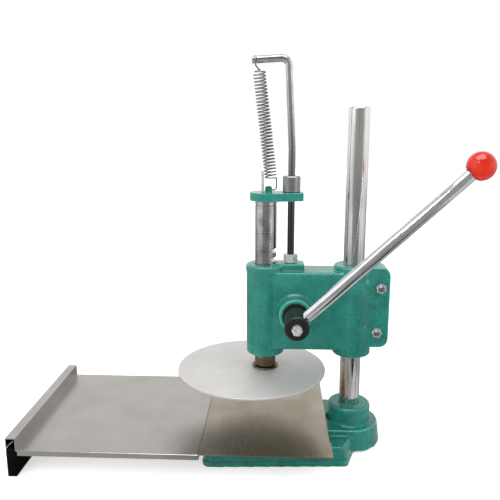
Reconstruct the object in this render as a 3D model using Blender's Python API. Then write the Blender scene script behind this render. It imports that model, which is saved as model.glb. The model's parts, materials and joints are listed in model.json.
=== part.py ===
# Bench press for pizza dough: a lever turns a pinion, which drives a toothed ram and its
# round plate down onto a fixed square plate. The guide rod beside the ram carries the
# return spring and the stop collar, and the head is clamped to one upright column.
#
# Metres, +Z up. The origin is on the bench under the axis of the ram, +X runs from the
# ram to the column, and -Y is the side with the lever.

import math

import bmesh
import bpy
from mathutils import Matrix, Vector

# Clearance between neighbours, and how far a cutter runs past the face that it cuts
GAP = 0.0003
OVERRUN = 0.002
# Points nearer to each other than this count as one
NEAR = 0.000003
# How far one piece of a casting reaches into the next, so that the two join
ROOT = 0.003
# Edges that turn more than this stay sharp
SHARP_ANGLE = math.radians(32)

# Steps round a large, a middling and a small turned piece
LARGE_STEPS = 36
ROUND_STEPS = 28
SMALL_STEPS = 14

# Column and throat
COLUMN_RADIUS = 0.015
THROAT = 0.1278
COLUMN_ABOVE_HEAD = 0.2215
COLUMN_CHAMFER = 0.0015
COLUMN_FLOOR = 0.008
COLUMN_CENTRE_RADIUS = 0.0028
COLUMN_CENTRE_DEPTH = 0.006

# Width of both sheets, from front to back
SHEET_WIDTH = 0.251

# Lower plate, flush with the tray and screwed down on the base
PLATE_LEVEL = 0.040
PLATE_THICKNESS = 0.0015
PLATE_LENGTH = 0.1788
PLATE_SHIFT = 0.0028
LIP_LENGTH = 0.038
LIP_DROP = 0.0022
STUD_RADIUS = 0.003
STUD_NUT_FLATS = 0.010
STUD_END = 0.003
STUD_SIDE = 0.021

# Base casting: a low slab with sloping shoulders, a tier with a round end about the column,
# a deck on it under the plate, and the socket for the column
SLAB_LEFT = -0.086
SLAB_RIGHT = 0.1172
SLAB_HEIGHT = 0.026
SLAB_WAIST = 0.0165
SLAB_SIDE = 0.091
SLAB_SIDE_RIGHT = 0.080
SLAB_SLOPE = 0.0055
SLAB_ROUND = 0.0025
SLAB_CORNER = 0.012
SLAB_CORNER_RIGHT = 0.006
NECK_RIGHT = 0.1308
NECK_SIDE = 0.043
NECK_SLOPE_SHARE = 0.55
FOOT_HEIGHT = 0.007
FOOT_GROOVE = 0.0015
TIER_RADIUS = 0.047
TIER_DRAFT = 0.004
TIER_TOP = 0.034
TIER_LIFT = 0.0022
TIER_ROUND = 0.0018
DECK_LEFT = -0.080
DECK_SIDE = 0.042
DECK_DRAFT = 0.001
DECK_SETBACK = 0.0016
DECK_WALL = 0.0088
SOCKET_RADIUS = 0.0315
SOCKET_RISE = 0.023
SOCKET_ROUND = 0.004
SOCKET_FILLET = 0.004
COLUMN_SCREW_RADIUS = 0.003
ORIGIN_BOSS_RISE = 0.0338

# Cored pockets under the base, between its ribs
RIB = 0.006
RIB_PITCH = 0.045
BASE_WALL = 0.008
ORIGIN_BOSS_RADIUS = 0.012

# Tray at the left and the black foot that carries its far end
TRAY_LENGTH = 0.2488
TRAY_SHEET = 0.0012
TRAY_SEAM = 0.0004
TRAY_FLANGE = 0.0078
FENCE_HEIGHT = 0.0176
FENCE_WIDTH = 0.0141
SKIRT_SLOPE_SHARE = 0.95
FOOT_TOP = 0.0416
STRAP_LENGTH = 0.018
STRAP_SIDE = 0.036
STRAP_LAP = 0.020
STRAP_THICKNESS = 0.0015

# Head casting
HEAD_LEVEL = 0.140
BOSS_HEIGHT = 0.135
BOSS_RADIUS = 0.0280
BOSS_LIP = 0.0008
BOSS_LIP_HEIGHT = 0.010
BOSS_ROUND = 0.003
BODY_HALF = 0.026
BODY_RISE = 0.0113
BODY_STEP = 0.008
BODY_ROUND = 0.004
EAR_REACH = 0.0505
EAR_HALF = 0.020
EAR_RISE = 0.015
EAR_STEP = 0.001
EAR_CORNER = 0.012
EAR_ROUND = 0.002
SLIT_HALF = 0.0015
ROD_PAD_RISE = 0.002
ROD_PAD_HALF = 0.0145
ROD_PAD_REACH = 0.020
ROD_PAD_CORNER = 0.005

# Clamp bolts through the ears, and their nuts
BOLT_RADIUS = 0.004
BOLT_HEAD_FLATS = 0.013
BOLT_HEAD_HEIGHT = 0.0055
BOLT_NUT_HEIGHT = 0.0065
BOLT_TAIL = 0.0022
UPPER_BOLT_REACH = 0.0368
UPPER_BOLT_DROP = 0.030
LOWER_BOLT_REACH = 0.0330
LOWER_BOLT_RISE = 0.0392

# Ram, with its rack
RAM_RADIUS = 0.0155
RAM_NECK_RADIUS = 0.012
RAM_NECK_HEIGHT = 0.006
RAM_CHAMFER = 0.001
RAM_GROOVE_DROP = 0.006
RAM_GROOVE_WIDTH = 0.0016
RAM_GROOVE_DEPTH = 0.0009
RAM_MARK_DROP = 0.0458
RAM_MARK_WIDTH = 0.0008
RAM_MARK_DEPTH = 0.0004
TOOTH_MODULE = 0.004
PINION_TEETH = 15
PRESSURE_ANGLE = math.radians(20)
BACKLASH = 0.0003
ROOT_CLEARANCE_SHARE = 0.25
RACK_NOTCHES = 9
RACK_TOP_DROP = 0.0719

# Press disc, set off the ram's axis so that its rim clears the column
DISC_RADIUS = 0.110
DISC_THICKNESS = 0.003
DISC_EDGE = 0.0006
DISC_LIFT = 0.0736
DISC_OFFSET = -0.0204
DISC_FORWARD = -0.005
FLANGE_RADIUS = 0.0195
FLANGE_THICKNESS = 0.002
FLANGE_CHAMFER = 0.0007
SPIGOT_RADIUS = 0.010
SPIGOT_HEIGHT = 0.016
DISC_PIN_RADIUS = 0.0022
DISC_PIN_RISE = 0.0045
DISC_PIN_TURN = math.radians(-19)
DISC_PIN_SINK = 0.0012

# Crosshead on the ram, with the lug for the spring
CROSSHEAD_THICKNESS = 0.0117
CROSSHEAD_RADIUS = 0.023
CROSSHEAD_REACH = 0.017
CROSSHEAD_END = 0.012
CROSSHEAD_ROUND = 0.001
CROSSHEAD_CLEARANCE = 0.0039
LUG_LEFT = -0.0015
LUG_LENGTH = 0.010
LUG_HALF = 0.004
LUG_HEIGHT = 0.0088
LUG_ROUND = 0.003
TOP_STUD_RADIUS = 0.0023
TOP_STUD_OFFSET = -0.005
TOP_STUD_FORWARD = -0.006
TOP_STUD_HEIGHT = 0.031
TOP_STUD_DEPTH = 0.016
TOP_STUD_CHAMFER = 0.0005

# Guide rod, bent at the top into the arm that holds the spring
ROD_RADIUS = 0.005
ROD_OFFSET = 0.036
ROD_TOP = 0.5617
ROD_LEAN = math.radians(3)
ROD_STRAIGHT_TOP = 0.440
ROD_BEND = 0.010
ROD_BEND_STEPS = 7
ROD_ARM = 0.050
ROD_DEPTH = 0.026
ROD_NUT_FLATS = 0.018
ROD_NUT_HEIGHT = 0.0125
GROOVE_INSET = 0.0036
GROOVE_WIDTH = 0.0030
GROOVE_RADIUS = 0.0036

# Stop collar on the guide rod
COLLAR_RADIUS = 0.0127
COLLAR_HEIGHT = 0.0225
COLLAR_CHAMFER = 0.0008
SET_SCREW_RADIUS = 0.0025
SET_SCREW_SOCKET = 0.0012

# Return spring
WIRE_RADIUS = 0.001
SPRING_RADIUS = 0.0080
SPRING_COILS = 33
SPRING_STEPS = 8
SPRING_TOP_DROP = 0.0052
SPRING_TOP_SHIFT = 0.0045
SPRING_BOTTOM_OFFSET = 0.0068
SPRING_BOTTOM_RISE = 0.0195
EYE_RADIUS = 0.0062
EYE_SWEEP = math.radians(300)
EYE_STEPS = 14
HOOK_RISE = 0.0036
HOOK_REACH = 0.0062
HOOK_DEPTH = 0.005
HOOK_LEG = 0.004
SPRING_CLEARANCE_REACH = 4
SPRING_CLEARANCE_SPAN = 80

# Pinion shaft and its bearings
PINION_OFFSET = 0.0433
PINION_DROP = 0.066
PINION_HALF = 0.0125
SHAFT_RADIUS = 0.011
SHAFT_SEAT_RADIUS = 0.010
SHAFT_SEAT_LENGTH = 0.026
BUSH_WALL = 0.0027
CHAMBER_CLEARANCE = 0.002
SIDE_PLAY = 0.0005
FRONT_BOSS_RADIUS = 0.0277
FRONT_BOSS_END_RADIUS = 0.0236
FRONT_BOSS_LENGTH = 0.019
FRONT_BOSS_ROUND = 0.0015

# Rear cover of the pinion chamber
COVER_MARGIN = 0.010
COVER_THICKNESS = 0.005
COVER_CHAMFER = 0.001
COVER_SCREWS = 4
COVER_SCREW_RADIUS = 0.0025
COVER_SCREW_LENGTH = 0.009
COVER_SCREW_HEAD_RADIUS = 0.0045
COVER_SCREW_HEAD = 0.004

# Lever hub on the front end of the shaft
HUB_RADIUS = 0.0167
HUB_LENGTH = 0.0548
HUB_COLLAR_RADIUS = 0.0192
HUB_COLLAR_LENGTH = 0.0045
HUB_CHAMFER = 0.0018
KEY_SIDE = 0.005
KEY_LENGTH = 0.016
KEY_SINK = 0.003
HUB_BOLT_RADIUS = 0.004
HUB_BOLT_DEPTH = 0.012
HUB_BOLT_FLATS = 0.013
HUB_BOLT_HEAD = 0.0055
HUB_BOLT_TURN = math.radians(24)
HUB_WASHER_RADIUS = 0.0068
HUB_WASHER_THICKNESS = 0.0016

# Lever rod and its ball knob
LEVER_ANGLE = math.radians(43.3)
LEVER_LENGTH = 0.3104
LEVER_RADIUS = 0.0084
LEVER_SETBACK = 0.0135
LEVER_TANG_RADIUS = 0.005
LEVER_TANG_START = 0.0068
LEVER_TAPER = 0.0008
KNOB_RADIUS = 0.0184
KNOB_STEPS = 28
KNOB_NECK_RADIUS = 0.0095
KNOB_HOLE_DEPTH = 0.018

# Socket that the hexagon of a screw leaves in its head
HEX_BEVEL = 0.0008

# Levels that follow from the sizes above
plate_bottom = PLATE_LEVEL - PLATE_THICKNESS
deck_top = plate_bottom - GAP
sheet_side = SHEET_WIDTH / 2
plate_left = PLATE_SHIFT - PLATE_LENGTH / 2
plate_right = PLATE_SHIFT + PLATE_LENGTH / 2
socket_top = deck_top + SOCKET_RISE
tray_level = deck_top + TRAY_SHEET
tray_right = plate_left - TRAY_SEAM
tray_left = tray_right - TRAY_LENGTH
fence_left = tray_left - FENCE_WIDTH
fence_top = tray_level + FENCE_HEIGHT

boss_top = HEAD_LEVEL + BOSS_HEIGHT
body_bottom = HEAD_LEVEL + BODY_RISE
body_top = boss_top - BODY_STEP
rod_pad_top = boss_top + ROD_PAD_RISE
column_top = boss_top + COLUMN_ABOVE_HEAD
ear_right = THROAT + EAR_REACH

disc_bottom = PLATE_LEVEL + DISC_LIFT
disc_top = disc_bottom + DISC_THICKNESS
flange_bottom = disc_top + GAP
flange_top = flange_bottom + FLANGE_THICKNESS
ram_bottom = flange_top + GAP

# The stroke ends when the disc reaches the plate, and the crosshead then clears the nut
rod_nut_bottom = rod_pad_top + GAP
rod_nut_top = rod_nut_bottom + ROD_NUT_HEIGHT
crosshead_bottom = rod_nut_top + DISC_LIFT + CROSSHEAD_CLEARANCE
crosshead_top = crosshead_bottom + CROSSHEAD_THICKNESS
ram_top = crosshead_bottom - GAP
collar_bottom = crosshead_top + GAP

pinion_level = boss_top - PINION_DROP
pitch_radius = TOOTH_MODULE * PINION_TEETH / 2
tip_radius = pitch_radius + TOOTH_MODULE
root_depth = TOOTH_MODULE * (1 + ROOT_CLEARANCE_SHARE)
root_radius = pitch_radius - root_depth
tooth_pitch = math.pi * TOOTH_MODULE
chamber_radius = tip_radius + CHAMBER_CLEARANCE
chamber_front = -(PINION_HALF + SIDE_PLAY)
bush_bore = SHAFT_RADIUS + GAP
bush_radius = bush_bore + BUSH_WALL
bush_seat = bush_radius + GAP
front_boss_end = -(BODY_HALF + FRONT_BOSS_LENGTH)
hub_back = front_boss_end - GAP
hub_front = hub_back - HUB_LENGTH
lever_side = hub_front + LEVER_SETBACK
lever_shoulder = HUB_RADIUS + GAP
shaft_front = hub_back - SHAFT_SEAT_LENGTH


def make_material(name, colour, roughness, metallic):
    material = bpy.data.materials.new(name)
    material.use_nodes = True
    shader = material.node_tree.nodes["Principled BSDF"]
    shader.inputs["Base Color"].default_value = (*colour, 1.0)
    shader.inputs["Roughness"].default_value = roughness
    shader.inputs["Metallic"].default_value = metallic
    return material


def clear_scene():
    for item in list(bpy.data.objects):
        bpy.data.objects.remove(item, do_unlink=True)


def make_frame(name, place):
    frame = bpy.data.objects.new(name, None)
    frame.location = place
    bpy.context.scene.collection.objects.link(frame)
    return frame


def place_object(name, mesh, material, frame=None):
    """Puts a mesh that is drawn in world places on a frame, without moving it."""
    thing = bpy.data.objects.new(name, mesh)
    bpy.context.scene.collection.objects.link(thing)
    if material is not None:
        thing.data.materials.append(material)
    if frame is not None:
        thing.parent = frame
        thing.matrix_parent_inverse = Matrix.Translation(-frame.location)
    return thing


def finish_mesh(name, shape, turn=None):
    bmesh.ops.recalc_face_normals(shape, faces=shape.faces[:])
    if turn is not None:
        bmesh.ops.transform(shape, matrix=turn, verts=shape.verts[:])
    mesh = bpy.data.meshes.new(name)
    shape.to_mesh(mesh)
    shape.free()
    mesh.shade_smooth()
    mesh.set_sharp_from_angle(angle=SHARP_ANGLE)
    return mesh


def towards(axis, place):
    """Turns local +Z to the named axis and moves the local origin to a place."""
    turns = {
        "Z": Matrix.Identity(4),
        "Y": Matrix.Rotation(math.radians(-90), 4, "X"),
        "-Y": Matrix.Rotation(math.radians(90), 4, "X"),
        "X": Matrix.Rotation(math.radians(90), 4, "Y"),
    }
    return Matrix.Translation(place) @ turns[axis]


def turned_shape(profile, steps):
    """Spins a profile of (radius, height) points about Z into a closed solid."""
    shape = bmesh.new()
    points = [shape.verts.new((radius, 0, height)) for radius, height in profile]
    closed = profile[0][0] > GAP
    ends = points + points[:1] if closed else points
    edges = [shape.edges.new(pair) for pair in zip(ends, ends[1:])]
    bmesh.ops.spin(shape, geom=points + edges, axis=(0, 0, 1), cent=(0, 0, 0),
                   steps=steps, angle=math.tau, use_merge=True)
    bmesh.ops.remove_doubles(shape, verts=shape.verts[:], dist=NEAR)
    # A flat end becomes one face, without a point at its middle
    middles = [vert for vert in shape.verts if vert.co.xy.length < NEAR
               and all(abs(face.normal.z) > 1 - GAP for face in vert.link_faces)]
    bmesh.ops.dissolve_verts(shape, verts=middles)
    return shape


def turned(name, profile, steps, turn=None):
    return finish_mesh(name, turned_shape(profile, steps), turn)


def rod_profile(radius, start, end, chamfer=0):
    if chamfer == 0:
        return [(0, end), (radius, end), (radius, start), (0, start)]
    return [(0, end), (radius - chamfer, end), (radius, end - chamfer),
            (radius, start + chamfer), (radius - chamfer, start), (0, start)]


def tube_profile(outer, inner, start, end, chamfer=0):
    if chamfer == 0:
        return [(inner, end), (outer, end), (outer, start), (inner, start)]
    return [(inner, end), (outer - chamfer, end), (outer, end - chamfer),
            (outer, start + chamfer), (outer - chamfer, start), (inner, start)]


def arc(centre, radius, start, end, steps):
    """Points on an arc, with both ends, from one angle in degrees to another."""
    places = []
    for step in range(steps + 1):
        angle = math.radians(start + (end - start) * step / steps)
        places.append((centre[0] + radius * math.cos(angle), centre[1] + radius * math.sin(angle)))
    return places


def rounded_outline(corners, radii, steps=4):
    """Rounds each corner of an anticlockwise outline with its own radius."""
    outline = []
    for index, (corner, radius) in enumerate(zip(corners, radii)):
        here = Vector(corner)
        back = (Vector(corners[index - 1]) - here).normalized()
        ahead = (Vector(corners[(index + 1) % len(corners)]) - here).normalized()
        if radius == 0:
            outline.append(tuple(here))
            continue
        half = back.angle(ahead) / 2
        centre = here + (back + ahead).normalized() * radius / math.sin(half)
        first = here + back * radius / math.tan(half) - centre
        last = here + ahead * radius / math.tan(half) - centre
        sweep = first.angle_signed(last)
        for step in range(steps + 1):
            spoke = first.copy()
            spoke.rotate(Matrix.Rotation(-sweep * step / steps, 2))
            outline.append(tuple(centre + spoke))
    return outline


def stacked_shape(rings):
    """A closed solid through (outline, height) rings that have as many points each."""
    shape = bmesh.new()
    levels = [[shape.verts.new((x, y, height)) for x, y in outline] for outline, height in rings]
    shape.faces.new(reversed(levels[0]))
    shape.faces.new(levels[-1])
    count = len(levels[0])
    for low, high in zip(levels, levels[1:]):
        for index in range(count):
            after = (index + 1) % count
            shape.faces.new((low[index], low[after], high[after], high[index]))
    return shape


def prism_shape(outline, bottom, top, top_outline=None):
    """A solid on an outline in X and Y, which may narrow to another outline at its top."""
    return stacked_shape([(outline, bottom), (top_outline or outline, top)])


def bevel_edges(shape, wanted, width, segments):
    edges = [edge for edge in shape.edges if wanted(edge)]
    bmesh.ops.bevel(shape, geom=edges, offset=width, segments=segments, profile=0.5,
                    affect="EDGES", clamp_overlap=True, material=-1)


def at_height(height):
    return lambda edge: all(abs(vert.co.z - height) < NEAR for vert in edge.verts)


def box_shape(low, high):
    outline = [(low[0], low[1]), (high[0], low[1]), (high[0], high[1]), (low[0], high[1])]
    return prism_shape(outline, low[2], high[2])


def hexagon_shape(flats, bottom, top, bevelled_top=True):
    radius = flats / math.sqrt(3)
    outline = [(radius * math.cos(math.radians(60 * side)), radius * math.sin(math.radians(60 * side)))
               for side in range(6)]
    shape = prism_shape(outline, bottom, top)
    if bevelled_top:
        bevel_edges(shape, at_height(top), HEX_BEVEL, 1)
    return shape


def add_tool(target, mesh, operation, name):
    """Adds or cuts a shape with a Boolean whose tool is hidden and drawn as wire."""
    tool = place_object(name, mesh, None)
    tool.hide_render = True
    tool.display_type = "WIRE"
    modifier = target.modifiers.new(name, "BOOLEAN")
    modifier.operation = operation
    modifier.solver = "EXACT"
    modifier.object = tool
    return tool


def weld(target, mesh, name):
    return add_tool(target, mesh, "UNION", target.name + "_add_" + name)


def cut(target, mesh, name):
    return add_tool(target, mesh, "DIFFERENCE", target.name + "_cut_" + name)


def drill(target, name, radius, start, end, axis, place, steps=SMALL_STEPS):
    """Cuts a round hole between two distances along an axis from a place."""
    return cut(target, turned(name, rod_profile(radius, start, end), steps, towards(axis, place)), name)


# Base, plate and tray

def slab_outline(inset):
    """Outline of the slab, whose right end narrows in a straight line to its neck at the tier."""
    left = SLAB_LEFT + inset
    side = SLAB_SIDE - inset
    neck = NECK_RIGHT - inset * NECK_SLOPE_SHARE
    corners = [(left, side), (left, -side), (SLAB_RIGHT - inset, inset - SLAB_SIDE_RIGHT),
               (neck, -NECK_SIDE), (neck, 0)]
    half = rounded_outline(corners, [0, SLAB_CORNER, SLAB_CORNER_RIGHT, 0, 0])[1:-1]
    return half + [(x, -y) for x, y in reversed(half)]


def tier_outline(radius):
    """Outline of the tier: straight sides that end in a round about the column."""
    corners = [(THROAT, radius), (DECK_LEFT, radius), (DECK_LEFT, -radius), (THROAT, -radius)]
    rounded = rounded_outline(corners, [0, SLAB_CORNER, SLAB_CORNER, 0])
    return rounded + arc((THROAT, 0), radius, -90, 90, 18)[1:-1]


def deck_outline(inset):
    side = DECK_SIDE - inset
    left = DECK_LEFT + DECK_DRAFT + inset
    right = plate_right - DECK_SETBACK - inset
    corners = [(right, side), (left, side), (left, -side), (right, -side)]
    return rounded_outline(corners, [SLAB_ROUND, SLAB_CORNER, SLAB_CORNER, SLAB_ROUND])


def base_bays():
    """Start and end in X of each bay between the base's ribs."""
    half = RIB / 2
    lines = [-RIB_PITCH, 0, RIB_PITCH]
    starts = [SLAB_LEFT + BASE_WALL] + [line + half for line in lines]
    ends = [line - half for line in lines] + [THROAT - TIER_RADIUS + RIB]
    return list(zip(starts, ends))


def base_pocket_shape():
    """The cored pockets between the ribs, deeper where the deck stands over them."""
    shape = bmesh.new()
    half = RIB / 2
    inner = DECK_SIDE - half - DECK_DRAFT
    outer = inner + RIB
    rows = [(half, inner, deck_top - DECK_WALL), (outer, SLAB_SIDE_RIGHT - BASE_WALL, SLAB_HEIGHT - BASE_WALL)]
    for start, end in base_bays():
        for near, far, top in rows:
            for low, high in ((near, far), (-far, -near)):
                pocket = prism_shape([(start, low), (end, low), (end, high), (start, high)], -OVERRUN, top)
                spare = bpy.data.meshes.new("pocket")
                pocket.to_mesh(spare)
                pocket.free()
                shape.from_mesh(spare)
                bpy.data.meshes.remove(spare)
    return shape


def socket_profile():
    """Half outline of the column's socket, with a fillet at its foot and a rounded rim."""
    fillet = [(SOCKET_RADIUS + SOCKET_FILLET - x, z) for x, z in
              arc((0, TIER_TOP + SOCKET_FILLET), SOCKET_FILLET, 0, -90, 3)]
    rim = arc((SOCKET_RADIUS - SOCKET_ROUND, socket_top - SOCKET_ROUND), SOCKET_ROUND, 90, 0, 4)
    foot = SOCKET_RADIUS + SOCKET_FILLET
    return [(0, socket_top)] + rim + fillet + [(foot, TIER_TOP - ROOT), (0, TIER_TOP - ROOT)]


def make_slab(material):
    rings = [(slab_outline(0), FOOT_HEIGHT - ROOT), (slab_outline(0), SLAB_WAIST),
             (slab_outline(SLAB_SLOPE), SLAB_HEIGHT)]
    slab = stacked_shape(rings)
    bevel_edges(slab, lambda edge: at_height(SLAB_HEIGHT)(edge) or at_height(SLAB_WAIST)(edge), SLAB_ROUND, 2)
    return place_object("base_casting", finish_mesh("base_casting", slab), material)


def make_base_casting(material):
    base = make_slab(material)
    foot = prism_shape(slab_outline(-FOOT_GROOVE), 0, FOOT_HEIGHT)
    bevel_edges(foot, at_height(FOOT_HEIGHT), FOOT_GROOVE, 2)
    weld(base, finish_mesh("foot", foot), "foot")
    tier = prism_shape(tier_outline(TIER_RADIUS), TIER_LIFT, TIER_TOP, tier_outline(TIER_RADIUS - TIER_DRAFT))
    bevel_edges(tier, lambda edge: at_height(TIER_LIFT)(edge) or at_height(TIER_TOP)(edge), TIER_ROUND, 2)
    weld(base, finish_mesh("tier", tier), "tier")
    deck = prism_shape(deck_outline(0), TIER_TOP - ROOT, deck_top, deck_outline(DECK_DRAFT))
    weld(base, finish_mesh("deck", deck), "deck")
    weld(base, turned("socket", socket_profile(), LARGE_STEPS, towards("Z", (THROAT, 0, 0))), "socket")
    cut(base, finish_mesh("pockets", base_pocket_shape()), "pockets")
    weld(base, turned("origin_boss", rod_profile(ORIGIN_BOSS_RADIUS, 0, ORIGIN_BOSS_RISE), SMALL_STEPS), "origin_boss")
    recess = box_shape((DECK_LEFT - OVERRUN, -STRAP_SIDE - GAP, deck_top - STRAP_THICKNESS - GAP),
                       (tray_right + STRAP_LENGTH + GAP, STRAP_SIDE + GAP, deck_top + OVERRUN))
    cut(base, finish_mesh("strap_recess", recess), "strap_recess")
    screw_level = deck_top + SOCKET_RISE / 2
    drill(base, "set_screw_hole", COLUMN_SCREW_RADIUS + GAP, COLUMN_RADIUS / 2, SOCKET_RADIUS + OVERRUN, "Y",
          (THROAT, 0, screw_level))
    drill(base, "column_bore", COLUMN_RADIUS + GAP, COLUMN_FLOOR - GAP, socket_top + OVERRUN, "Z",
          (THROAT, 0, 0), LARGE_STEPS)
    for index, place in enumerate(plate_stud_places()):
        drill(base, "stud_hole_%d" % (index + 1), STUD_RADIUS + GAP, 0, deck_top + OVERRUN, "Z", place)
    return base


def plate_stud_places():
    """Two studs in the last bay and two in the first."""
    bays = base_bays()
    return [((bay[0] + bay[1]) / 2, side * STUD_SIDE, 0) for bay in (bays[-1], bays[0]) for side in (-1, 1)]


def make_lower_plate(material):
    sheet = box_shape((plate_left, -sheet_side, plate_bottom), (plate_right, sheet_side, PLATE_LEVEL))
    plate = place_object("lower_plate", finish_mesh("lower_plate", sheet), material)
    lip = box_shape((plate_right - PLATE_THICKNESS, -sheet_side, PLATE_LEVEL - LIP_DROP),
                    (plate_right + PLATE_THICKNESS, LIP_LENGTH - sheet_side, PLATE_LEVEL))
    weld(plate, finish_mesh("lip", lip), "lip")
    stud_end = deck_top - DECK_WALL - GAP - BOLT_NUT_HEIGHT - STUD_END
    for index, place in enumerate(plate_stud_places()):
        profile = rod_profile(STUD_RADIUS, stud_end, PLATE_LEVEL - PLATE_THICKNESS / 2)
        weld(plate, turned("stud", profile, SMALL_STEPS, towards("Z", place)), "stud_%d" % (index + 1))
    return plate


def make_nut(name, flats, height, bore, material, turn, frame=None):
    nut = place_object(name, finish_mesh(name, hexagon_shape(flats, 0, height), turn), material, frame)
    hole = turned("bore", rod_profile(bore + GAP, -OVERRUN, height + OVERRUN), SMALL_STEPS, turn)
    cut(nut, hole, "bore")
    return nut


def make_plate_nuts(material):
    top = deck_top - DECK_WALL - GAP
    for index, (x, y, z) in enumerate(plate_stud_places()):
        turn = Matrix.Translation((x, y, top)) @ Matrix.Rotation(math.pi, 4, "X")
        make_nut("plate_nut_%d" % (index + 1), STUD_NUT_FLATS, BOLT_NUT_HEIGHT, STUD_RADIUS, material, turn)


def make_column(material):
    """The column has a centre hole in its top from the lathe."""
    centre_floor = column_top - COLUMN_CENTRE_DEPTH
    profile = [(0, centre_floor), (COLUMN_CENTRE_RADIUS, centre_floor), (COLUMN_CENTRE_RADIUS, column_top)]
    profile += rod_profile(COLUMN_RADIUS, COLUMN_FLOOR, column_top, COLUMN_CHAMFER)[1:]
    return place_object("column", turned("column", profile, LARGE_STEPS, towards("Z", (THROAT, 0, 0))), material)


def make_socketed_screw(name, radius, start, end, axis, place, material, frame=None):
    """A headless screw with the blind socket of its key in the outer end."""
    mesh = turned(name, rod_profile(radius, start, end), SMALL_STEPS, towards(axis, place))
    screw = place_object(name, mesh, material, frame)
    socket = hexagon_shape(radius, end - radius, end + OVERRUN, False)
    cut(screw, finish_mesh("socket", socket, towards(axis, place)), "socket")
    return screw


def sheet_outline(path, thickness):
    """Closes a bent line into the section of a sheet that lies to the left of the line."""
    inner = []
    for index, point in enumerate(path):
        here = Vector(point)
        sides = []
        if index > 0:
            sides.append((here - Vector(path[index - 1])).normalized())
        if index < len(path) - 1:
            sides.append((Vector(path[index + 1]) - here).normalized())
        normals = [Vector((-side.y, side.x)) for side in sides]
        across = sum(normals, Vector((0, 0))).normalized()
        inner.append(tuple(here + across * thickness / across.dot(normals[0])))
    return list(path) + inner[::-1]


def make_tray(material):
    """One bent sheet: floor, fence and the fence's folded skirt, with flanges and a strap."""
    skirt = FOOT_TOP + GAP
    fold = FENCE_WIDTH - TRAY_SHEET * 2
    path = [(tray_right, tray_level), (tray_left, tray_level), (tray_left, fence_top),
            (fence_left, fence_top), (fence_left, skirt), (fence_left + fold, skirt + fold * SKIRT_SLOPE_SHARE)]
    section = prism_shape(sheet_outline(path, TRAY_SHEET), -sheet_side, sheet_side)
    tray = place_object("tray", finish_mesh("tray", section, towards("-Y", (0, 0, 0))), material)
    for sign, label in ((-1, "front"), (1, "back")):
        outer = sign * sheet_side
        inner = sign * (sheet_side - TRAY_SHEET)
        flange = box_shape((tray_left + TRAY_SHEET, min(outer, inner), tray_level - TRAY_FLANGE),
                           (tray_right, max(outer, inner), tray_level - TRAY_SHEET / 2))
        weld(tray, finish_mesh("flange", flange), label + "_flange")
    strap = box_shape((tray_right - STRAP_LAP, -STRAP_SIDE, deck_top - STRAP_THICKNESS),
                      (tray_right + STRAP_LENGTH, STRAP_SIDE, deck_top))
    lap = box_shape((tray_right - STRAP_LAP, -STRAP_SIDE, deck_top - STRAP_THICKNESS),
                    (tray_right, STRAP_SIDE, tray_level - TRAY_SHEET / 2))
    weld(tray, finish_mesh("lap", lap), "lap")
    weld(tray, finish_mesh("strap", strap), "strap")
    return tray


def make_tray_foot(material):
    bar = box_shape((fence_left, -sheet_side, 0), (tray_left - TRAY_SHEET - GAP, sheet_side, FOOT_TOP))
    return place_object("tray_foot", finish_mesh("tray_foot", bar), material)


# Head

def boss_profile(bottom, top):
    """A cast boss with a lip under its upper rim and rounded ends."""
    outer = BOSS_RADIUS + BOSS_LIP
    rim = arc((outer - BOSS_ROUND, top - BOSS_ROUND), BOSS_ROUND, 90, 0, 3)
    heel = arc((BOSS_RADIUS - BOSS_ROUND, bottom + BOSS_ROUND), BOSS_ROUND, 0, -90, 3)
    lip = [(outer, top - BOSS_LIP_HEIGHT), (BOSS_RADIUS, top - BOSS_LIP_HEIGHT - BOSS_LIP)]
    return [(0, top)] + rim + lip + heel + [(0, bottom)]


def ear_shape():
    """The clamp's two ears as one block, before the slit parts them."""
    bottom = HEAD_LEVEL + EAR_RISE
    top = boss_top - EAR_STEP
    corners = [(THROAT, bottom), (ear_right, bottom), (ear_right, top), (THROAT, top)]
    outline = rounded_outline(corners, [0, EAR_CORNER, EAR_CORNER, 0], 5)
    shape = prism_shape(outline, -EAR_HALF, EAR_HALF)
    bevel_edges(shape, lambda edge: at_height(EAR_HALF)(edge) or at_height(-EAR_HALF)(edge), EAR_ROUND, 2)
    return shape


def body_shape():
    shape = box_shape((0, -BODY_HALF, body_bottom), (THROAT, BODY_HALF, body_top))
    bevel_edges(shape, lambda edge: abs(edge.verts[0].co.x - edge.verts[1].co.x) > BODY_HALF, BODY_ROUND, 3)
    return shape


def rod_pad_shape():
    right = ROD_OFFSET + ROD_PAD_REACH
    corners = [(0, -ROD_PAD_HALF), (right, -ROD_PAD_HALF), (right, ROD_PAD_HALF), (0, ROD_PAD_HALF)]
    outline = rounded_outline(corners, [0, ROD_PAD_CORNER, ROD_PAD_CORNER, 0], 3)
    shape = prism_shape(outline, body_top - ROOT - BODY_ROUND, rod_pad_top)
    bevel_edges(shape, at_height(rod_pad_top), ROD_PAD_RISE, 2)
    return shape


def front_boss_profile():
    """The pinion's front boss, tapered away from the body, drawn along +Z."""
    root = BODY_HALF - BODY_ROUND
    end = BODY_HALF + FRONT_BOSS_LENGTH
    rim = arc((FRONT_BOSS_END_RADIUS - FRONT_BOSS_ROUND, end - FRONT_BOSS_ROUND), FRONT_BOSS_ROUND, 90, 0, 3)
    flare = FRONT_BOSS_RADIUS - FRONT_BOSS_END_RADIUS
    foot = [(FRONT_BOSS_END_RADIUS + flare / 4, BODY_HALF + flare), (FRONT_BOSS_RADIUS, BODY_HALF)]
    return [(0, end)] + rim + foot + [(FRONT_BOSS_RADIUS, root), (0, root)]


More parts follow.
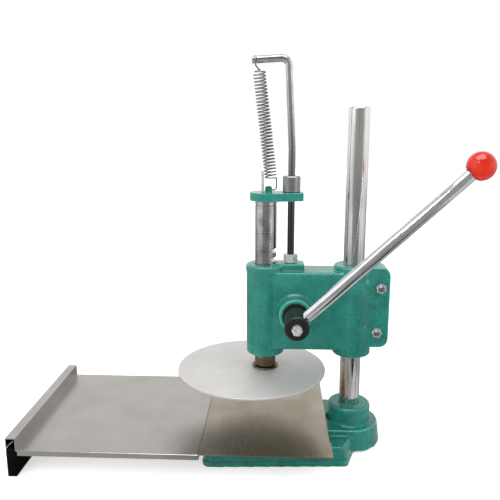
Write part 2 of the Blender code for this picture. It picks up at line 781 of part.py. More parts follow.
def clamp_bolt_places():
    upper = (THROAT + UPPER_BOLT_REACH, 0, boss_top - UPPER_BOLT_DROP)
    lower = (THROAT + LOWER_BOLT_REACH, 0, HEAD_LEVEL + LOWER_BOLT_RISE)
    return {"upper": upper, "lower": lower}


def make_head_casting(material, frame):
    centre = (PINION_OFFSET, 0, pinion_level)
    head = place_object("head_casting", turned("head_casting", boss_profile(HEAD_LEVEL, boss_top), LARGE_STEPS),
                        material, frame)
    weld(head, finish_mesh("body", body_shape()), "body")
    column_boss = turned("column_boss", boss_profile(HEAD_LEVEL, boss_top), LARGE_STEPS, towards("Z", (THROAT, 0, 0)))
    weld(head, column_boss, "column_boss")
    weld(head, finish_mesh("ears", ear_shape(), towards("-Y", (0, 0, 0))), "ears")
    weld(head, finish_mesh("rod_pad", rod_pad_shape()), "rod_pad")
    weld(head, turned("front_boss", front_boss_profile(), ROUND_STEPS, towards("-Y", centre)), "front_boss")
    drill(head, "ram_bore", RAM_RADIUS + GAP, HEAD_LEVEL - OVERRUN, boss_top + OVERRUN + ROD_PAD_RISE, "Z",
          (0, 0, 0), LARGE_STEPS)
    drill(head, "column_bore", COLUMN_RADIUS + GAP, HEAD_LEVEL - OVERRUN, boss_top + OVERRUN, "Z",
          (THROAT, 0, 0), LARGE_STEPS)
    drill(head, "chamber", chamber_radius, chamber_front, BODY_HALF + OVERRUN, "Y", centre, LARGE_STEPS)
    drill(head, "cover_seat", chamber_radius + COVER_MARGIN + GAP, BODY_HALF, BOSS_RADIUS + BOSS_LIP + OVERRUN, "Y",
          centre, LARGE_STEPS)
    drill(head, "front_bearing", bush_seat, chamber_front - OVERRUN, BODY_HALF + FRONT_BOSS_LENGTH + OVERRUN, "-Y",
          centre, ROUND_STEPS)
    slit = box_shape((THROAT, -SLIT_HALF, HEAD_LEVEL - OVERRUN), (ear_right + OVERRUN, SLIT_HALF, boss_top + OVERRUN))
    cut(head, finish_mesh("slit", slit), "slit")
    for name, place in clamp_bolt_places().items():
        drill(head, name + "_bolt_hole", BOLT_RADIUS + GAP, -EAR_HALF - OVERRUN, EAR_HALF + OVERRUN, "Y", place)
    drill(head, "rod_hole", ROD_RADIUS + GAP, rod_pad_top - ROD_DEPTH, rod_pad_top + OVERRUN, "Z", (ROD_OFFSET, 0, 0))
    for index, place in enumerate(cover_screw_places()):
        drill(head, "cover_hole_%d" % (index + 1), COVER_SCREW_RADIUS + GAP,
              BODY_HALF - COVER_SCREW_LENGTH, BODY_HALF + OVERRUN, "Y", place)
    return head


def make_clamp_hardware(material, frame):
    """Two bolts pushed through from behind, with their nuts at the front."""
    for name, place in clamp_bolt_places().items():
        head_start = EAR_HALF + GAP
        nut_end = EAR_HALF + GAP + BOLT_NUT_HEIGHT
        shank = turned("shank", rod_profile(BOLT_RADIUS, -nut_end - BOLT_TAIL, head_start + GAP), SMALL_STEPS,
                       towards("Y", place))
        bolt_name = "clamp_bolt_" + name
        hexagon = hexagon_shape(BOLT_HEAD_FLATS, head_start, head_start + BOLT_HEAD_HEIGHT)
        bolt = place_object(bolt_name, finish_mesh(bolt_name, hexagon, towards("Y", place)), material, frame)
        weld(bolt, shank, "shank")
        turn = towards("-Y", place) @ Matrix.Translation((0, 0, EAR_HALF + GAP))
        make_nut("clamp_nut_" + name, BOLT_HEAD_FLATS, BOLT_NUT_HEIGHT, BOLT_RADIUS, material, turn, frame)


def make_bush(name, start, end, axis, material, frame):
    centre = (PINION_OFFSET, 0, pinion_level)
    mesh = turned(name, tube_profile(bush_radius, bush_bore, start, end), ROUND_STEPS, towards(axis, centre))
    return place_object(name, mesh, material, frame)


def cover_screw_places():
    reach = chamber_radius + COVER_MARGIN / 2
    places = []
    for index in range(COVER_SCREWS):
        angle = math.tau * (index + 0.5) / COVER_SCREWS
        places.append((PINION_OFFSET + reach * math.cos(angle), 0, pinion_level + reach * math.sin(angle)))
    return places


def make_rear_cover(material, frame):
    """A turned cover whose spigot fills the chamber behind the pinion."""
    start = BODY_HALF + GAP
    end = start + COVER_THICKNESS
    rim = chamber_radius + COVER_MARGIN
    profile = [(bush_seat, end), (rim - COVER_CHAMFER, end), (rim, end - COVER_CHAMFER),
               (rim, start), (chamber_radius - GAP, start), (chamber_radius - GAP, PINION_HALF + SIDE_PLAY),
               (bush_seat, PINION_HALF + SIDE_PLAY)]
    centre = (PINION_OFFSET, 0, pinion_level)
    cover = place_object("rear_cover", turned("rear_cover", profile, LARGE_STEPS, towards("Y", centre)),
                         material, frame)
    for index, place in enumerate(cover_screw_places()):
        drill(cover, "hole_%d" % (index + 1), COVER_SCREW_RADIUS + GAP, BODY_HALF - OVERRUN, end + OVERRUN, "Y", place)
    ram_relief = turned("ram_relief", rod_profile(RAM_RADIUS + GAP * 2, HEAD_LEVEL, boss_top), LARGE_STEPS)
    cut(cover, ram_relief, "ram_relief")
    return cover


def make_cover_screws(material, frame):
    seat = BODY_HALF + GAP + COVER_THICKNESS + GAP
    for index, place in enumerate(cover_screw_places()):
        name = "cover_screw_%d" % (index + 1)
        tip = BODY_HALF - COVER_SCREW_LENGTH + GAP
        profile = [(0, seat + COVER_SCREW_HEAD), (COVER_SCREW_HEAD_RADIUS, seat + COVER_SCREW_HEAD),
                   (COVER_SCREW_HEAD_RADIUS, seat), (COVER_SCREW_RADIUS, seat), (COVER_SCREW_RADIUS, tip), (0, tip)]
        screw = place_object(name, turned(name, profile, SMALL_STEPS, towards("Y", place)), material, frame)
        socket = hexagon_shape(COVER_SCREW_RADIUS * 2, seat + COVER_SCREW_HEAD / 2,
                               seat + COVER_SCREW_HEAD + OVERRUN, False)
        cut(screw, finish_mesh("socket", socket, towards("Y", place)), "socket")


# Guide rod, collar and spring

def rod_corner():
    """Place where the leaning stretch and the arm would meet, without the bend."""
    lean = (ROD_TOP - ROD_STRAIGHT_TOP) * math.tan(ROD_LEAN)
    return Vector((ROD_OFFSET - lean, 0, ROD_TOP))


def arm_direction():
    return Vector((-math.cos(ROD_LEAN), 0, -math.sin(ROD_LEAN)))


def guide_rod_path():
    corner = rod_corner()
    up = Vector((-math.sin(ROD_LEAN), 0, math.cos(ROD_LEAN)))
    out = arm_direction()
    centre = corner - up * ROD_BEND + out * ROD_BEND
    path = [Vector((ROD_OFFSET, 0, rod_pad_top - ROD_DEPTH + GAP)), Vector((ROD_OFFSET, 0, ROD_STRAIGHT_TOP))]
    for step in range(ROD_BEND_STEPS + 1):
        turn = math.pi / 2 * step / ROD_BEND_STEPS
        path.append(centre - out * ROD_BEND * math.cos(turn) + up * ROD_BEND * math.sin(turn))
    path.append(corner + out * ROD_ARM)
    return path


def tube_curve(name, path, radius, resolution, material, frame):
    """A round bar along a path, as a curve with a bevel and filled ends."""
    curve = bpy.data.curves.new(name, "CURVE")
    curve.dimensions = "3D"
    curve.bevel_depth = radius
    curve.bevel_resolution = resolution
    curve.use_fill_caps = True
    spline = curve.splines.new("POLY")
    spline.points.add(len(path) - 1)
    for point, place in zip(spline.points, path):
        point.co = (*place, 1)
    curve.materials.append(material)
    tube = bpy.data.objects.new(name, curve)
    bpy.context.scene.collection.objects.link(tube)
    tube.parent = frame
    tube.matrix_parent_inverse = Matrix.Translation(-frame.location)
    return tube


def make_guide_rod(material, frame):
    """The bar is swept as rings along its path, then grooved near the end of the arm."""
    shape = bmesh.new()
    path = guide_rod_path()
    rings = []
    for index, place in enumerate(path):
        before = path[max(index - 1, 0)]
        after = path[min(index + 1, len(path) - 1)]
        along = (after - before).normalized()
        side = Vector((0, 1, 0))
        across = along.cross(side)
        ring = []
        for step in range(ROUND_STEPS // 2):
            angle = math.tau * step / (ROUND_STEPS // 2)
            offset = side * math.sin(angle) + across * math.cos(angle)
            ring.append(shape.verts.new(place + offset * ROD_RADIUS))
        rings.append(ring)
    for low, high in zip(rings, rings[1:]):
        for index in range(len(low)):
            after = (index + 1) % len(low)
            shape.faces.new((low[index], low[after], high[after], high[index]))
    shape.faces.new(rings[0])
    shape.faces.new(rings[-1])
    rod = place_object("guide_rod", finish_mesh("guide_rod", shape), material, frame)
    start = ROD_ARM - GROOVE_INSET - GROOVE_WIDTH
    groove = tube_profile(ROD_RADIUS + OVERRUN, GROOVE_RADIUS, start, start + GROOVE_WIDTH)
    turn = Matrix.Translation(rod_corner()) @ arm_direction().to_track_quat("Z", "Y").to_matrix().to_4x4()
    cut(rod, turned("groove", groove, SMALL_STEPS, turn), "groove")
    return rod


def make_stop_collar(material, screw_material, frame):
    profile = tube_profile(COLLAR_RADIUS, ROD_RADIUS + GAP, collar_bottom, collar_bottom + COLLAR_HEIGHT,
                           COLLAR_CHAMFER)
    place = (ROD_OFFSET, 0, 0)
    collar = place_object("stop_collar", turned("stop_collar", profile, ROUND_STEPS, towards("Z", place)),
                          material, frame)
    level = (ROD_OFFSET, 0, collar_bottom + COLLAR_HEIGHT / 2)
    drill(collar, "screw_hole", SET_SCREW_RADIUS + GAP, ROD_RADIUS / 2, COLLAR_RADIUS + OVERRUN, "Y", level)
    make_socketed_screw("stop_collar_screw", SET_SCREW_RADIUS, ROD_RADIUS + GAP,
                        COLLAR_RADIUS - SET_SCREW_SOCKET, "Y", level, screw_material, frame)


def lug_hook_level():
    return crosshead_top + HOOK_RISE


def smooth_path(points, steps):
    """Points on a smooth curve through the given points."""
    padded = [points[0]] + points + [points[-1]]
    path = []
    for index in range(len(points) - 1):
        before, start, end, after = padded[index:index + 4]
        for step in range(steps):
            share = step / steps
            path.append(0.5 * (2 * start + (end - before) * share
                               + (2 * before - 5 * start + 4 * end - after) * share ** 2
                               + (3 * start - before - 3 * end + after) * share ** 3))
    path.append(points[-1])
    return path


def spring_path():
    """One wire: the eye over the arm, the coils, then the hook into the crosshead's lug."""
    eye_x = (rod_corner() + arm_direction() * (ROD_ARM - GROOVE_INSET - GROOVE_WIDTH / 2))
    eye_centre = eye_x + Vector((0, 0, GROOVE_RADIUS + GAP + WIRE_RADIUS - EYE_RADIUS))
    top = eye_centre + Vector((SPRING_TOP_SHIFT, 0, -EYE_RADIUS - SPRING_TOP_DROP))
    bottom = Vector((SPRING_BOTTOM_OFFSET, 0, crosshead_top + SPRING_BOTTOM_RISE))
    along = (bottom - top).normalized()
    side = Vector((0, 1, 0))
    across = side.cross(along)
    eye = []
    for step in range(EYE_STEPS + 1):
        angle = EYE_SWEEP * (1 - step / EYE_STEPS)
        eye.append(eye_centre + Vector((0, math.sin(angle), -math.cos(angle))) * EYE_RADIUS)
    coils = []
    count = SPRING_COILS * SPRING_STEPS
    for step in range(count + 1):
        turns = step / SPRING_STEPS
        # The radius grows over the first turn, and the last turn ends at the right
        radius = SPRING_RADIUS * math.sin(min(1, turns) * math.pi / 2)
        angle = math.tau * (turns - SPRING_COILS)
        spoke = side * math.sin(angle) - across * math.cos(angle)
        coils.append(top.lerp(bottom, turns / SPRING_COILS) + spoke * radius)
    level = lug_hook_level()
    lug_right = LUG_LEFT + LUG_LENGTH
    leg = lug_right + HOOK_REACH
    hook = [coils[-1], Vector((leg, 0, level + HOOK_LEG + WIRE_RADIUS)), Vector((leg, 0, level + HOOK_LEG / 2)),
            Vector((lug_right + HOOK_REACH / 2, 0, level - WIRE_RADIUS / 2)),
            Vector((lug_right, 0, level)), Vector((lug_right - HOOK_DEPTH, 0, level))]
    return eye + coils[:-1] + smooth_path(hook, 3)


def least_self_gap(path, radius):
    """Least gap between stretches of the wire that aren't neighbours along it."""
    least = math.inf
    reach = SPRING_CLEARANCE_REACH * radius
    for index, here in enumerate(path):
        travelled = 0
        for other in range(index + 1, len(path)):
            travelled += (path[other] - path[other - 1]).length
            if travelled > reach:
                least = min(least, (path[other] - here).length - 2 * radius)
            if travelled > SPRING_CLEARANCE_SPAN * radius:
                break
    return least


def make_return_spring(material, frame):
    path = spring_path()
    print("return spring: least gap to itself %.2f mm" % (least_self_gap(path, WIRE_RADIUS) * 1000))
    return tube_curve("return_spring", path, WIRE_RADIUS, 1, material, frame)


# Ram, crosshead and disc

def ram_profile():
    groove_top = ram_top - RAM_GROOVE_DROP
    groove_low = groove_top - RAM_GROOVE_WIDTH
    mark_top = ram_top - RAM_MARK_DROP
    mark_low = mark_top - RAM_MARK_WIDTH
    neck_top = ram_top + RAM_NECK_HEIGHT
    bore = SPIGOT_RADIUS + GAP
    return [(0, neck_top), (RAM_NECK_RADIUS, neck_top), (RAM_NECK_RADIUS, ram_top),
            (RAM_RADIUS - RAM_CHAMFER, ram_top), (RAM_RADIUS, ram_top - RAM_CHAMFER), (RAM_RADIUS, groove_top),
            (RAM_RADIUS - RAM_GROOVE_DEPTH, groove_top), (RAM_RADIUS - RAM_GROOVE_DEPTH, groove_low),
            (RAM_RADIUS, groove_low), (RAM_RADIUS, mark_top), (RAM_RADIUS - RAM_MARK_DEPTH, mark_top),
            (RAM_RADIUS - RAM_MARK_DEPTH, mark_low), (RAM_RADIUS, mark_low), (RAM_RADIUS, ram_bottom + RAM_CHAMFER),
            (RAM_RADIUS - RAM_CHAMFER, ram_bottom), (bore, ram_bottom),
            (bore, flange_top + SPIGOT_HEIGHT + GAP), (0, flange_top + SPIGOT_HEIGHT + GAP)]


def rack_notch_levels():
    top = ram_top - RACK_TOP_DROP
    return [top - tooth_pitch * index for index in range(RACK_NOTCHES)]


def rack_cutter_shape():
    """Straight-sided gaps of the rack, open to +X, cut across the ram."""
    shape = bmesh.new()
    pitch_line = PINION_OFFSET - pitch_radius
    root = pitch_line - root_depth
    outer = RAM_RADIUS + OVERRUN
    half = tooth_pitch / 4 + BACKLASH / 2
    slope = math.tan(PRESSURE_ANGLE)
    for level in rack_notch_levels():
        inner_half = half - (pitch_line - root) * slope
        outer_half = half + (outer - pitch_line) * slope
        section = [(root, level - inner_half), (outer, level - outer_half),
                   (outer, level + outer_half), (root, level + inner_half)]
        near = [shape.verts.new((x, -outer, z)) for x, z in section]
        far = [shape.verts.new((x, outer, z)) for x, z in section]
        shape.faces.new(near)
        shape.faces.new(reversed(far))
        for index in range(4):
            after = (index + 1) % 4
            shape.faces.new((near[index], far[index], far[after], near[after]))
    return shape


def make_ram(material, frame):
    ram = place_object("ram", turned("ram", ram_profile(), LARGE_STEPS), material, frame)
    cut(ram, finish_mesh("rack", rack_cutter_shape()), "rack")
    drill(ram, "pin_hole", DISC_PIN_RADIUS + GAP, -RAM_RADIUS - OVERRUN, RAM_RADIUS + OVERRUN, "Y",
          (0, 0, 0)).matrix_world = disc_pin_turn()
    drill(ram, "stud_hole", TOP_STUD_RADIUS + GAP, crosshead_top - TOP_STUD_DEPTH - GAP, ram_top + OVERRUN
          + RAM_NECK_HEIGHT, "Z", (TOP_STUD_OFFSET, TOP_STUD_FORWARD, 0))
    return ram


def disc_pin_turn():
    return Matrix.Translation((0, 0, ram_bottom + DISC_PIN_RISE)) @ Matrix.Rotation(DISC_PIN_TURN, 4, "Z")


def make_disc(material, hub_material, pin_material, frame):
    profile = rod_profile(DISC_RADIUS, disc_bottom, disc_top, DISC_EDGE)
    place_object("press_disc", turned("press_disc", profile, LARGE_STEPS + SMALL_STEPS,
                                      towards("Z", (DISC_OFFSET, DISC_FORWARD, 0))), material, frame)
    top = flange_top + SPIGOT_HEIGHT
    flange = [(0, top), (SPIGOT_RADIUS - RAM_CHAMFER, top), (SPIGOT_RADIUS, top - RAM_CHAMFER),
              (SPIGOT_RADIUS, flange_top), (FLANGE_RADIUS - FLANGE_CHAMFER, flange_top),
              (FLANGE_RADIUS, flange_top - FLANGE_CHAMFER), (FLANGE_RADIUS, flange_bottom),
              (0, flange_bottom)]
    hub = place_object("disc_hub", turned("disc_hub", flange, ROUND_STEPS), hub_material, frame)
    hole = turned("pin_hole", rod_profile(DISC_PIN_RADIUS + GAP, -SPIGOT_RADIUS - OVERRUN,
                                          SPIGOT_RADIUS + OVERRUN), SMALL_STEPS, towards("Y", (0, 0, 0)))
    cut(hub, hole, "pin_hole").matrix_world = disc_pin_turn()
    half = RAM_RADIUS - DISC_PIN_SINK
    pin = turned("disc_pin", rod_profile(DISC_PIN_RADIUS, -half, half), SMALL_STEPS,
                 disc_pin_turn() @ towards("Y", (0, 0, 0)))
    place_object("disc_pin", pin, pin_material, frame)


def crosshead_outline():
    """A round about the ram that narrows to a flat end past the guide rod."""
    right = ROD_OFFSET + CROSSHEAD_REACH
    lean = math.asin((CROSSHEAD_RADIUS - CROSSHEAD_END) / right)
    start = 90 - math.degrees(lean)
    round_end = arc((0, 0), CROSSHEAD_RADIUS, start, 360 - start, 24)
    return round_end + [(right, -CROSSHEAD_END), (right, CROSSHEAD_END)]


def make_crosshead(material, frame):
    plate = prism_shape(crosshead_outline(), crosshead_bottom, crosshead_top)
    bevel_edges(plate, lambda edge: at_height(crosshead_top)(edge) or at_height(crosshead_bottom)(edge),
                CROSSHEAD_ROUND, 2)
    crosshead = place_object("crosshead", finish_mesh("crosshead", plate), material, frame)
    lug_right = LUG_LEFT + LUG_LENGTH
    lug_top = crosshead_top + LUG_HEIGHT
    low = crosshead_top - ROOT
    corners = [(LUG_LEFT, low), (lug_right, low), (lug_right, lug_top), (LUG_LEFT, lug_top)]
    lug = prism_shape(rounded_outline(corners, [0, 0, LUG_ROUND, LUG_ROUND], 3), -LUG_HALF, LUG_HALF)
    weld(crosshead, finish_mesh("lug", lug, towards("-Y", (0, 0, 0))), "lug")
    drill(crosshead, "hook_hole", WIRE_RADIUS + GAP * 2, lug_right - HOOK_DEPTH - OVERRUN, lug_right + OVERRUN, "X",
          (0, 0, lug_hook_level()))
    drill(crosshead, "neck_bore", RAM_NECK_RADIUS + GAP, crosshead_bottom - OVERRUN,
          ram_top + RAM_NECK_HEIGHT + GAP, "Z", (0, 0, 0), ROUND_STEPS)
    drill(crosshead, "stud_hole", TOP_STUD_RADIUS + GAP, crosshead_bottom, crosshead_top + OVERRUN, "Z",
          (TOP_STUD_OFFSET, TOP_STUD_FORWARD, 0))
    drill(crosshead, "rod_hole", ROD_RADIUS + GAP, crosshead_bottom - OVERRUN, crosshead_top + OVERRUN, "Z",
          (ROD_OFFSET, 0, 0))
    return crosshead


def make_crosshead_stud(material, frame):
    profile = rod_profile(TOP_STUD_RADIUS, crosshead_top - TOP_STUD_DEPTH, crosshead_top + TOP_STUD_HEIGHT,
                          TOP_STUD_CHAMFER)
    mesh = turned("crosshead_stud", profile, SMALL_STEPS, towards("Z", (TOP_STUD_OFFSET, TOP_STUD_FORWARD, 0)))
    return place_object("crosshead_stud", mesh, material, frame)


# Pinion, hub and lever

def involute_angle(radius, base):
    reach = math.sqrt(max((radius / base) ** 2 - 1, 0))
    return reach - math.atan(reach)


def pinion_phase():
    """Angle of a tooth that stands in the rack's gap nearest to the pinion's axis."""
    nearest = min(rack_notch_levels(), key=lambda level: abs(level - pinion_level))
    return math.pi - (nearest - pinion_level) / pitch_radius


def gear_outline():
    """Outline of the pinion in X and Z, with involute flanks worked out point by point."""
    base = pitch_radius * math.cos(PRESSURE_ANGLE)
    half_tooth = math.pi / (2 * PINION_TEETH) - BACKLASH / (2 * pitch_radius)
    at_pitch = involute_angle(pitch_radius, base)
    start = max(base, root_radius)
    radii = [start + (tip_radius - start) * step / 4 for step in range(5)]
    flank = [(radius, half_tooth + at_pitch - involute_angle(radius, base)) for radius in radii]
    root_half = flank[0][1]
    outline = []
    for tooth in range(PINION_TEETH):
        middle = pinion_phase() + math.tau * tooth / PINION_TEETH
        steps = [(root_radius, -root_half)] + [(radius, -angle) for radius, angle in flank]
        steps += [(radius, angle) for radius, angle in reversed(flank)] + [(root_radius, root_half)]
        for radius, angle in steps:
            outline.append((radius * math.cos(middle + angle), radius * math.sin(middle + angle)))
    return outline


def make_pinion_shaft(material, frame):
    centre = (PINION_OFFSET, 0, pinion_level)
    gear = prism_shape(gear_outline(), -PINION_HALF, PINION_HALF)
    shaft = place_object("pinion_shaft", finish_mesh("pinion_shaft", gear, towards("-Y", centre)), material, frame)
    rear = BODY_HALF + GAP + COVER_THICKNESS
    front = -front_boss_end
    profile = [(0, -shaft_front), (SHAFT_SEAT_RADIUS, -shaft_front), (SHAFT_SEAT_RADIUS, front),
               (SHAFT_RADIUS, front), (SHAFT_RADIUS, -rear), (0, -rear)]
    weld(shaft, turned("journals", profile, ROUND_STEPS, towards("-Y", centre)), "journals")
    drill(shaft, "bolt_hole", HUB_BOLT_RADIUS + GAP, -shaft_front - HUB_BOLT_DEPTH - GAP, -shaft_front + OVERRUN,
          "-Y", centre)
    seat = key_shape(GAP)
    cut(shaft, finish_mesh("key_seat", seat), "key_seat")
    return shaft


def key_shape(spread):
    """The square key between shaft and hub, or its seat when it is spread."""
    half = KEY_SIDE / 2 + spread
    low = pinion_level + SHAFT_SEAT_RADIUS - KEY_SINK - spread
    middle = (hub_back + shaft_front) / 2
    return box_shape((PINION_OFFSET - half, middle - KEY_LENGTH / 2 - spread, low),
                     (PINION_OFFSET + half, middle + KEY_LENGTH / 2 + spread, low + KEY_SIDE + spread * 2))


def make_lever_hub(material, frame):
    """The hub is bored for the shaft from behind, and solid round the lever's tang."""
    centre = (PINION_OFFSET, 0, pinion_level)
    back = -hub_back
    front = -hub_front
    collar = back + HUB_COLLAR_LENGTH
    profile = [(0, front), (HUB_RADIUS - HUB_CHAMFER, front), (HUB_RADIUS, front - HUB_CHAMFER),
               (HUB_RADIUS, collar), (HUB_COLLAR_RADIUS, collar), (HUB_COLLAR_RADIUS, back), (0, back)]
    hub = place_object("lever_hub", turned("lever_hub", profile, ROUND_STEPS, towards("-Y", centre)),
                       material, frame)
    drill(hub, "shaft_bore", SHAFT_SEAT_RADIUS + GAP, back - OVERRUN, -shaft_front + GAP, "-Y", centre, ROUND_STEPS)
    drill(hub, "bolt_hole", HUB_BOLT_RADIUS + GAP, -shaft_front, front + OVERRUN, "-Y", centre)
    cut(hub, finish_mesh("key_way", key_shape(GAP)), "key_way")
    hole = turned("tang_hole", rod_profile(LEVER_TANG_RADIUS + GAP, LEVER_TANG_START - GAP,
                                           HUB_RADIUS + OVERRUN), SMALL_STEPS, lever_turn())
    cut(hub, hole, "tang_hole")
    return hub


def lever_turn():
    """Turns local +Z to the lever's direction, from the pinion's axis."""
    return (Matrix.Translation((PINION_OFFSET, lever_side, pinion_level))
            @ Matrix.Rotation(math.pi / 2 - LEVER_ANGLE, 4, "Y"))


def make_hub_fixings(material, key_material, frame):
    centre = (PINION_OFFSET, 0, pinion_level)
    front = -hub_front + GAP
    washer = tube_profile(HUB_WASHER_RADIUS, HUB_BOLT_RADIUS + GAP, front, front + HUB_WASHER_THICKNESS)
    place_object("hub_washer", turned("hub_washer", washer, SMALL_STEPS, towards("-Y", centre)), material, frame)
    seat = front + HUB_WASHER_THICKNESS + GAP
    hexagon = hexagon_shape(HUB_BOLT_FLATS, seat, seat + HUB_BOLT_HEAD)
    turn = towards("-Y", centre) @ Matrix.Rotation(HUB_BOLT_TURN, 4, "Z")
    bolt = place_object("hub_bolt", finish_mesh("hub_bolt", hexagon, turn), material, frame)
    shank = rod_profile(HUB_BOLT_RADIUS, -shaft_front - HUB_BOLT_DEPTH, seat + GAP)
    weld(bolt, turned("shank", shank, SMALL_STEPS, towards("-Y", centre)), "shank")
    place_object("hub_key", finish_mesh("hub_key", key_shape(0)), key_material, frame)


def make_lever(rod_material, knob_material, frame):
    knob_front = LEVER_LENGTH - math.sqrt(KNOB_RADIUS ** 2 - KNOB_NECK_RADIUS ** 2)
    tip = knob_front + KNOB_HOLE_DEPTH
    rod = [(0, tip), (LEVER_TANG_RADIUS, tip), (LEVER_TANG_RADIUS, knob_front - GAP),
           (LEVER_RADIUS, knob_front - GAP), (LEVER_RADIUS, lever_shoulder + LEVER_TAPER),
           (LEVER_RADIUS - LEVER_TAPER, lever_shoulder), (LEVER_TANG_RADIUS, lever_shoulder),
           (LEVER_TANG_RADIUS, LEVER_TANG_START), (0, LEVER_TANG_START)]
    place_object("lever_rod", turned("lever_rod", rod, ROUND_STEPS, lever_turn()), rod_material, frame)
    neck = math.degrees(math.acos(KNOB_NECK_RADIUS / KNOB_RADIUS))
    ball = arc((0, LEVER_LENGTH), KNOB_RADIUS, 90, -neck, 14)
    bore = LEVER_TANG_RADIUS + GAP
    ball += [(bore, knob_front), (bore, tip + GAP), (0, tip + GAP)]
    place_object("lever_knob", turned("lever_knob", ball, KNOB_STEPS, lever_turn()), knob_material, frame)


def build_model():
    clear_scene()
    green = make_material("green_enamel", (0.03, 0.22, 0.17), 0.35, 0.0)
    stainless = make_material("stainless_sheet", (0.55, 0.53, 0.50), 0.35, 1.0)
    steel = make_material("bright_steel", (0.55, 0.55, 0.56), 0.25, 1.0)
    chrome = make_material("chrome", (0.75, 0.76, 0.78), 0.12, 1.0)
    zinc = make_material("zinc_plated", (0.65, 0.66, 0.68), 0.35, 1.0)
    bronze = make_material("bronze", (0.55, 0.38, 0.18), 0.4, 1.0)
    black = make_material("black_oxide", (0.02, 0.02, 0.02), 0.5, 0.3)
    rubber = make_material("black_foot", (0.02, 0.02, 0.022), 0.7, 0.0)
    orange = make_material("orange_knob", (0.80, 0.06, 0.01), 0.25, 0.0)

    head_frame = make_frame("head_frame", (THROAT, 0, HEAD_LEVEL))
    ram_frame = make_frame("ram_frame", (0, 0, ram_bottom))
    collar_frame = make_frame("collar_frame", (ROD_OFFSET, 0, collar_bottom))
    lever_frame = make_frame("lever_frame", (PINION_OFFSET, 0, pinion_level))

    make_base_casting(green)
    make_lower_plate(stainless)
    make_plate_nuts(zinc)
    make_column(steel)
    make_socketed_screw("column_set_screw", COLUMN_SCREW_RADIUS, COLUMN_RADIUS + GAP, SOCKET_RADIUS - SET_SCREW_SOCKET,
                        "Y", (THROAT, 0, deck_top + SOCKET_RISE / 2), zinc)
    make_tray(stainless)
    make_tray_foot(rubber)

    make_head_casting(green, head_frame)
    make_clamp_hardware(zinc, head_frame)
    make_bush("front_bush", PINION_HALF + SIDE_PLAY, -front_boss_end, "-Y", bronze, head_frame)
    make_bush("rear_bush", PINION_HALF + SIDE_PLAY, BODY_HALF + GAP + COVER_THICKNESS, "Y", bronze, head_frame)
    make_rear_cover(green, head_frame)
    make_cover_screws(zinc, head_frame)
    make_guide_rod(chrome, head_frame)
    make_nut("guide_rod_nut", ROD_NUT_FLATS, ROD_NUT_HEIGHT, ROD_RADIUS, zinc,
             towards("Z", (ROD_OFFSET, 0, rod_nut_bottom)), head_frame)
    make_return_spring(zinc, head_frame)
    make_stop_collar(steel, black, collar_frame)

    make_ram(steel, ram_frame)
    make_disc(stainless, zinc, zinc, ram_frame)
    make_crosshead(green, ram_frame)
    make_crosshead_stud(zinc, ram_frame)

    make_pinion_shaft(steel, lever_frame)
    make_lever_hub(black, lever_frame)
    make_hub_fixings(zinc, steel, lever_frame)
    make_lever(chrome, orange, lever_frame)


build_model()
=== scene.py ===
# Pizza dough press: finishes, finer pieces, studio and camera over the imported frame.

import json
import math

import bmesh
import bpy
from mathutils import Matrix, Vector


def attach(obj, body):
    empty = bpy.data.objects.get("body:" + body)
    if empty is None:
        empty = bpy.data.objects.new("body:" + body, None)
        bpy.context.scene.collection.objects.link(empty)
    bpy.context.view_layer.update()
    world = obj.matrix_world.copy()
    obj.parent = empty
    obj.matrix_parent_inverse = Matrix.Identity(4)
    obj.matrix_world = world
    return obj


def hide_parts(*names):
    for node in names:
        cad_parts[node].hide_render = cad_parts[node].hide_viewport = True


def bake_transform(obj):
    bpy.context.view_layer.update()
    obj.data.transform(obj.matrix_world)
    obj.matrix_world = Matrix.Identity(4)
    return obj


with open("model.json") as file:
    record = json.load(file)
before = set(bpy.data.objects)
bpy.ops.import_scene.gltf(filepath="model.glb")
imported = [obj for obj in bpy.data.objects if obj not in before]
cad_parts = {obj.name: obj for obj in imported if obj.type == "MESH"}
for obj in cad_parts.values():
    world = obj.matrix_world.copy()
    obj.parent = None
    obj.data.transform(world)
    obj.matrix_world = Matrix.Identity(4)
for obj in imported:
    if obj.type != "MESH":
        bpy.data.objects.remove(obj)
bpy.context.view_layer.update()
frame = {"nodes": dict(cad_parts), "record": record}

print("frame loaded")


# Camera, where the photographer stood

camera = {
    "place": (0.0140, -0.8329, 0.4695),
    "tilt": 78.14,
    "roll": 0.0,
    "turn": 2.54,
    "lens": 42.15,
}


def addCamera():
    data = bpy.data.cameras.new("photoCamera")
    data.lens = camera["lens"]
    data.sensor_width = 36
    data.clip_start = 0.01
    data.clip_end = 50
    holder = bpy.data.objects.new("photoCamera", data)
    holder.location = camera["place"]
    holder.rotation_euler = [math.radians(camera[key]) for key in ("tilt", "roll", "turn")]
    bpy.context.scene.collection.objects.link(holder)
    bpy.context.scene.camera = holder


# Node helpers

def addNode(tree, kind, **values):
    node = tree.nodes.new(kind)
    for key, value in values.items():
        setattr(node, key, value)
    return node


def addMath(tree, operation, first, second):
    node = addNode(tree, "ShaderNodeMath", operation=operation)
    for socket, value in zip(node.inputs, (first, second)):
        if isinstance(value, (int, float)):
            socket.default_value = value
        else:
            tree.links.new(value, socket)
    return node.outputs[0]


def addFade(tree, value, low, high, start=0.0, end=1.0):
    node = addNode(tree, "ShaderNodeMapRange", interpolation_type="SMOOTHSTEP")
    tree.links.new(value, node.inputs["Value"])
    for name, number in zip(("From Min", "From Max", "To Min", "To Max"), (low, high, start, end)):
        node.inputs[name].default_value = number
    return node.outputs[0]


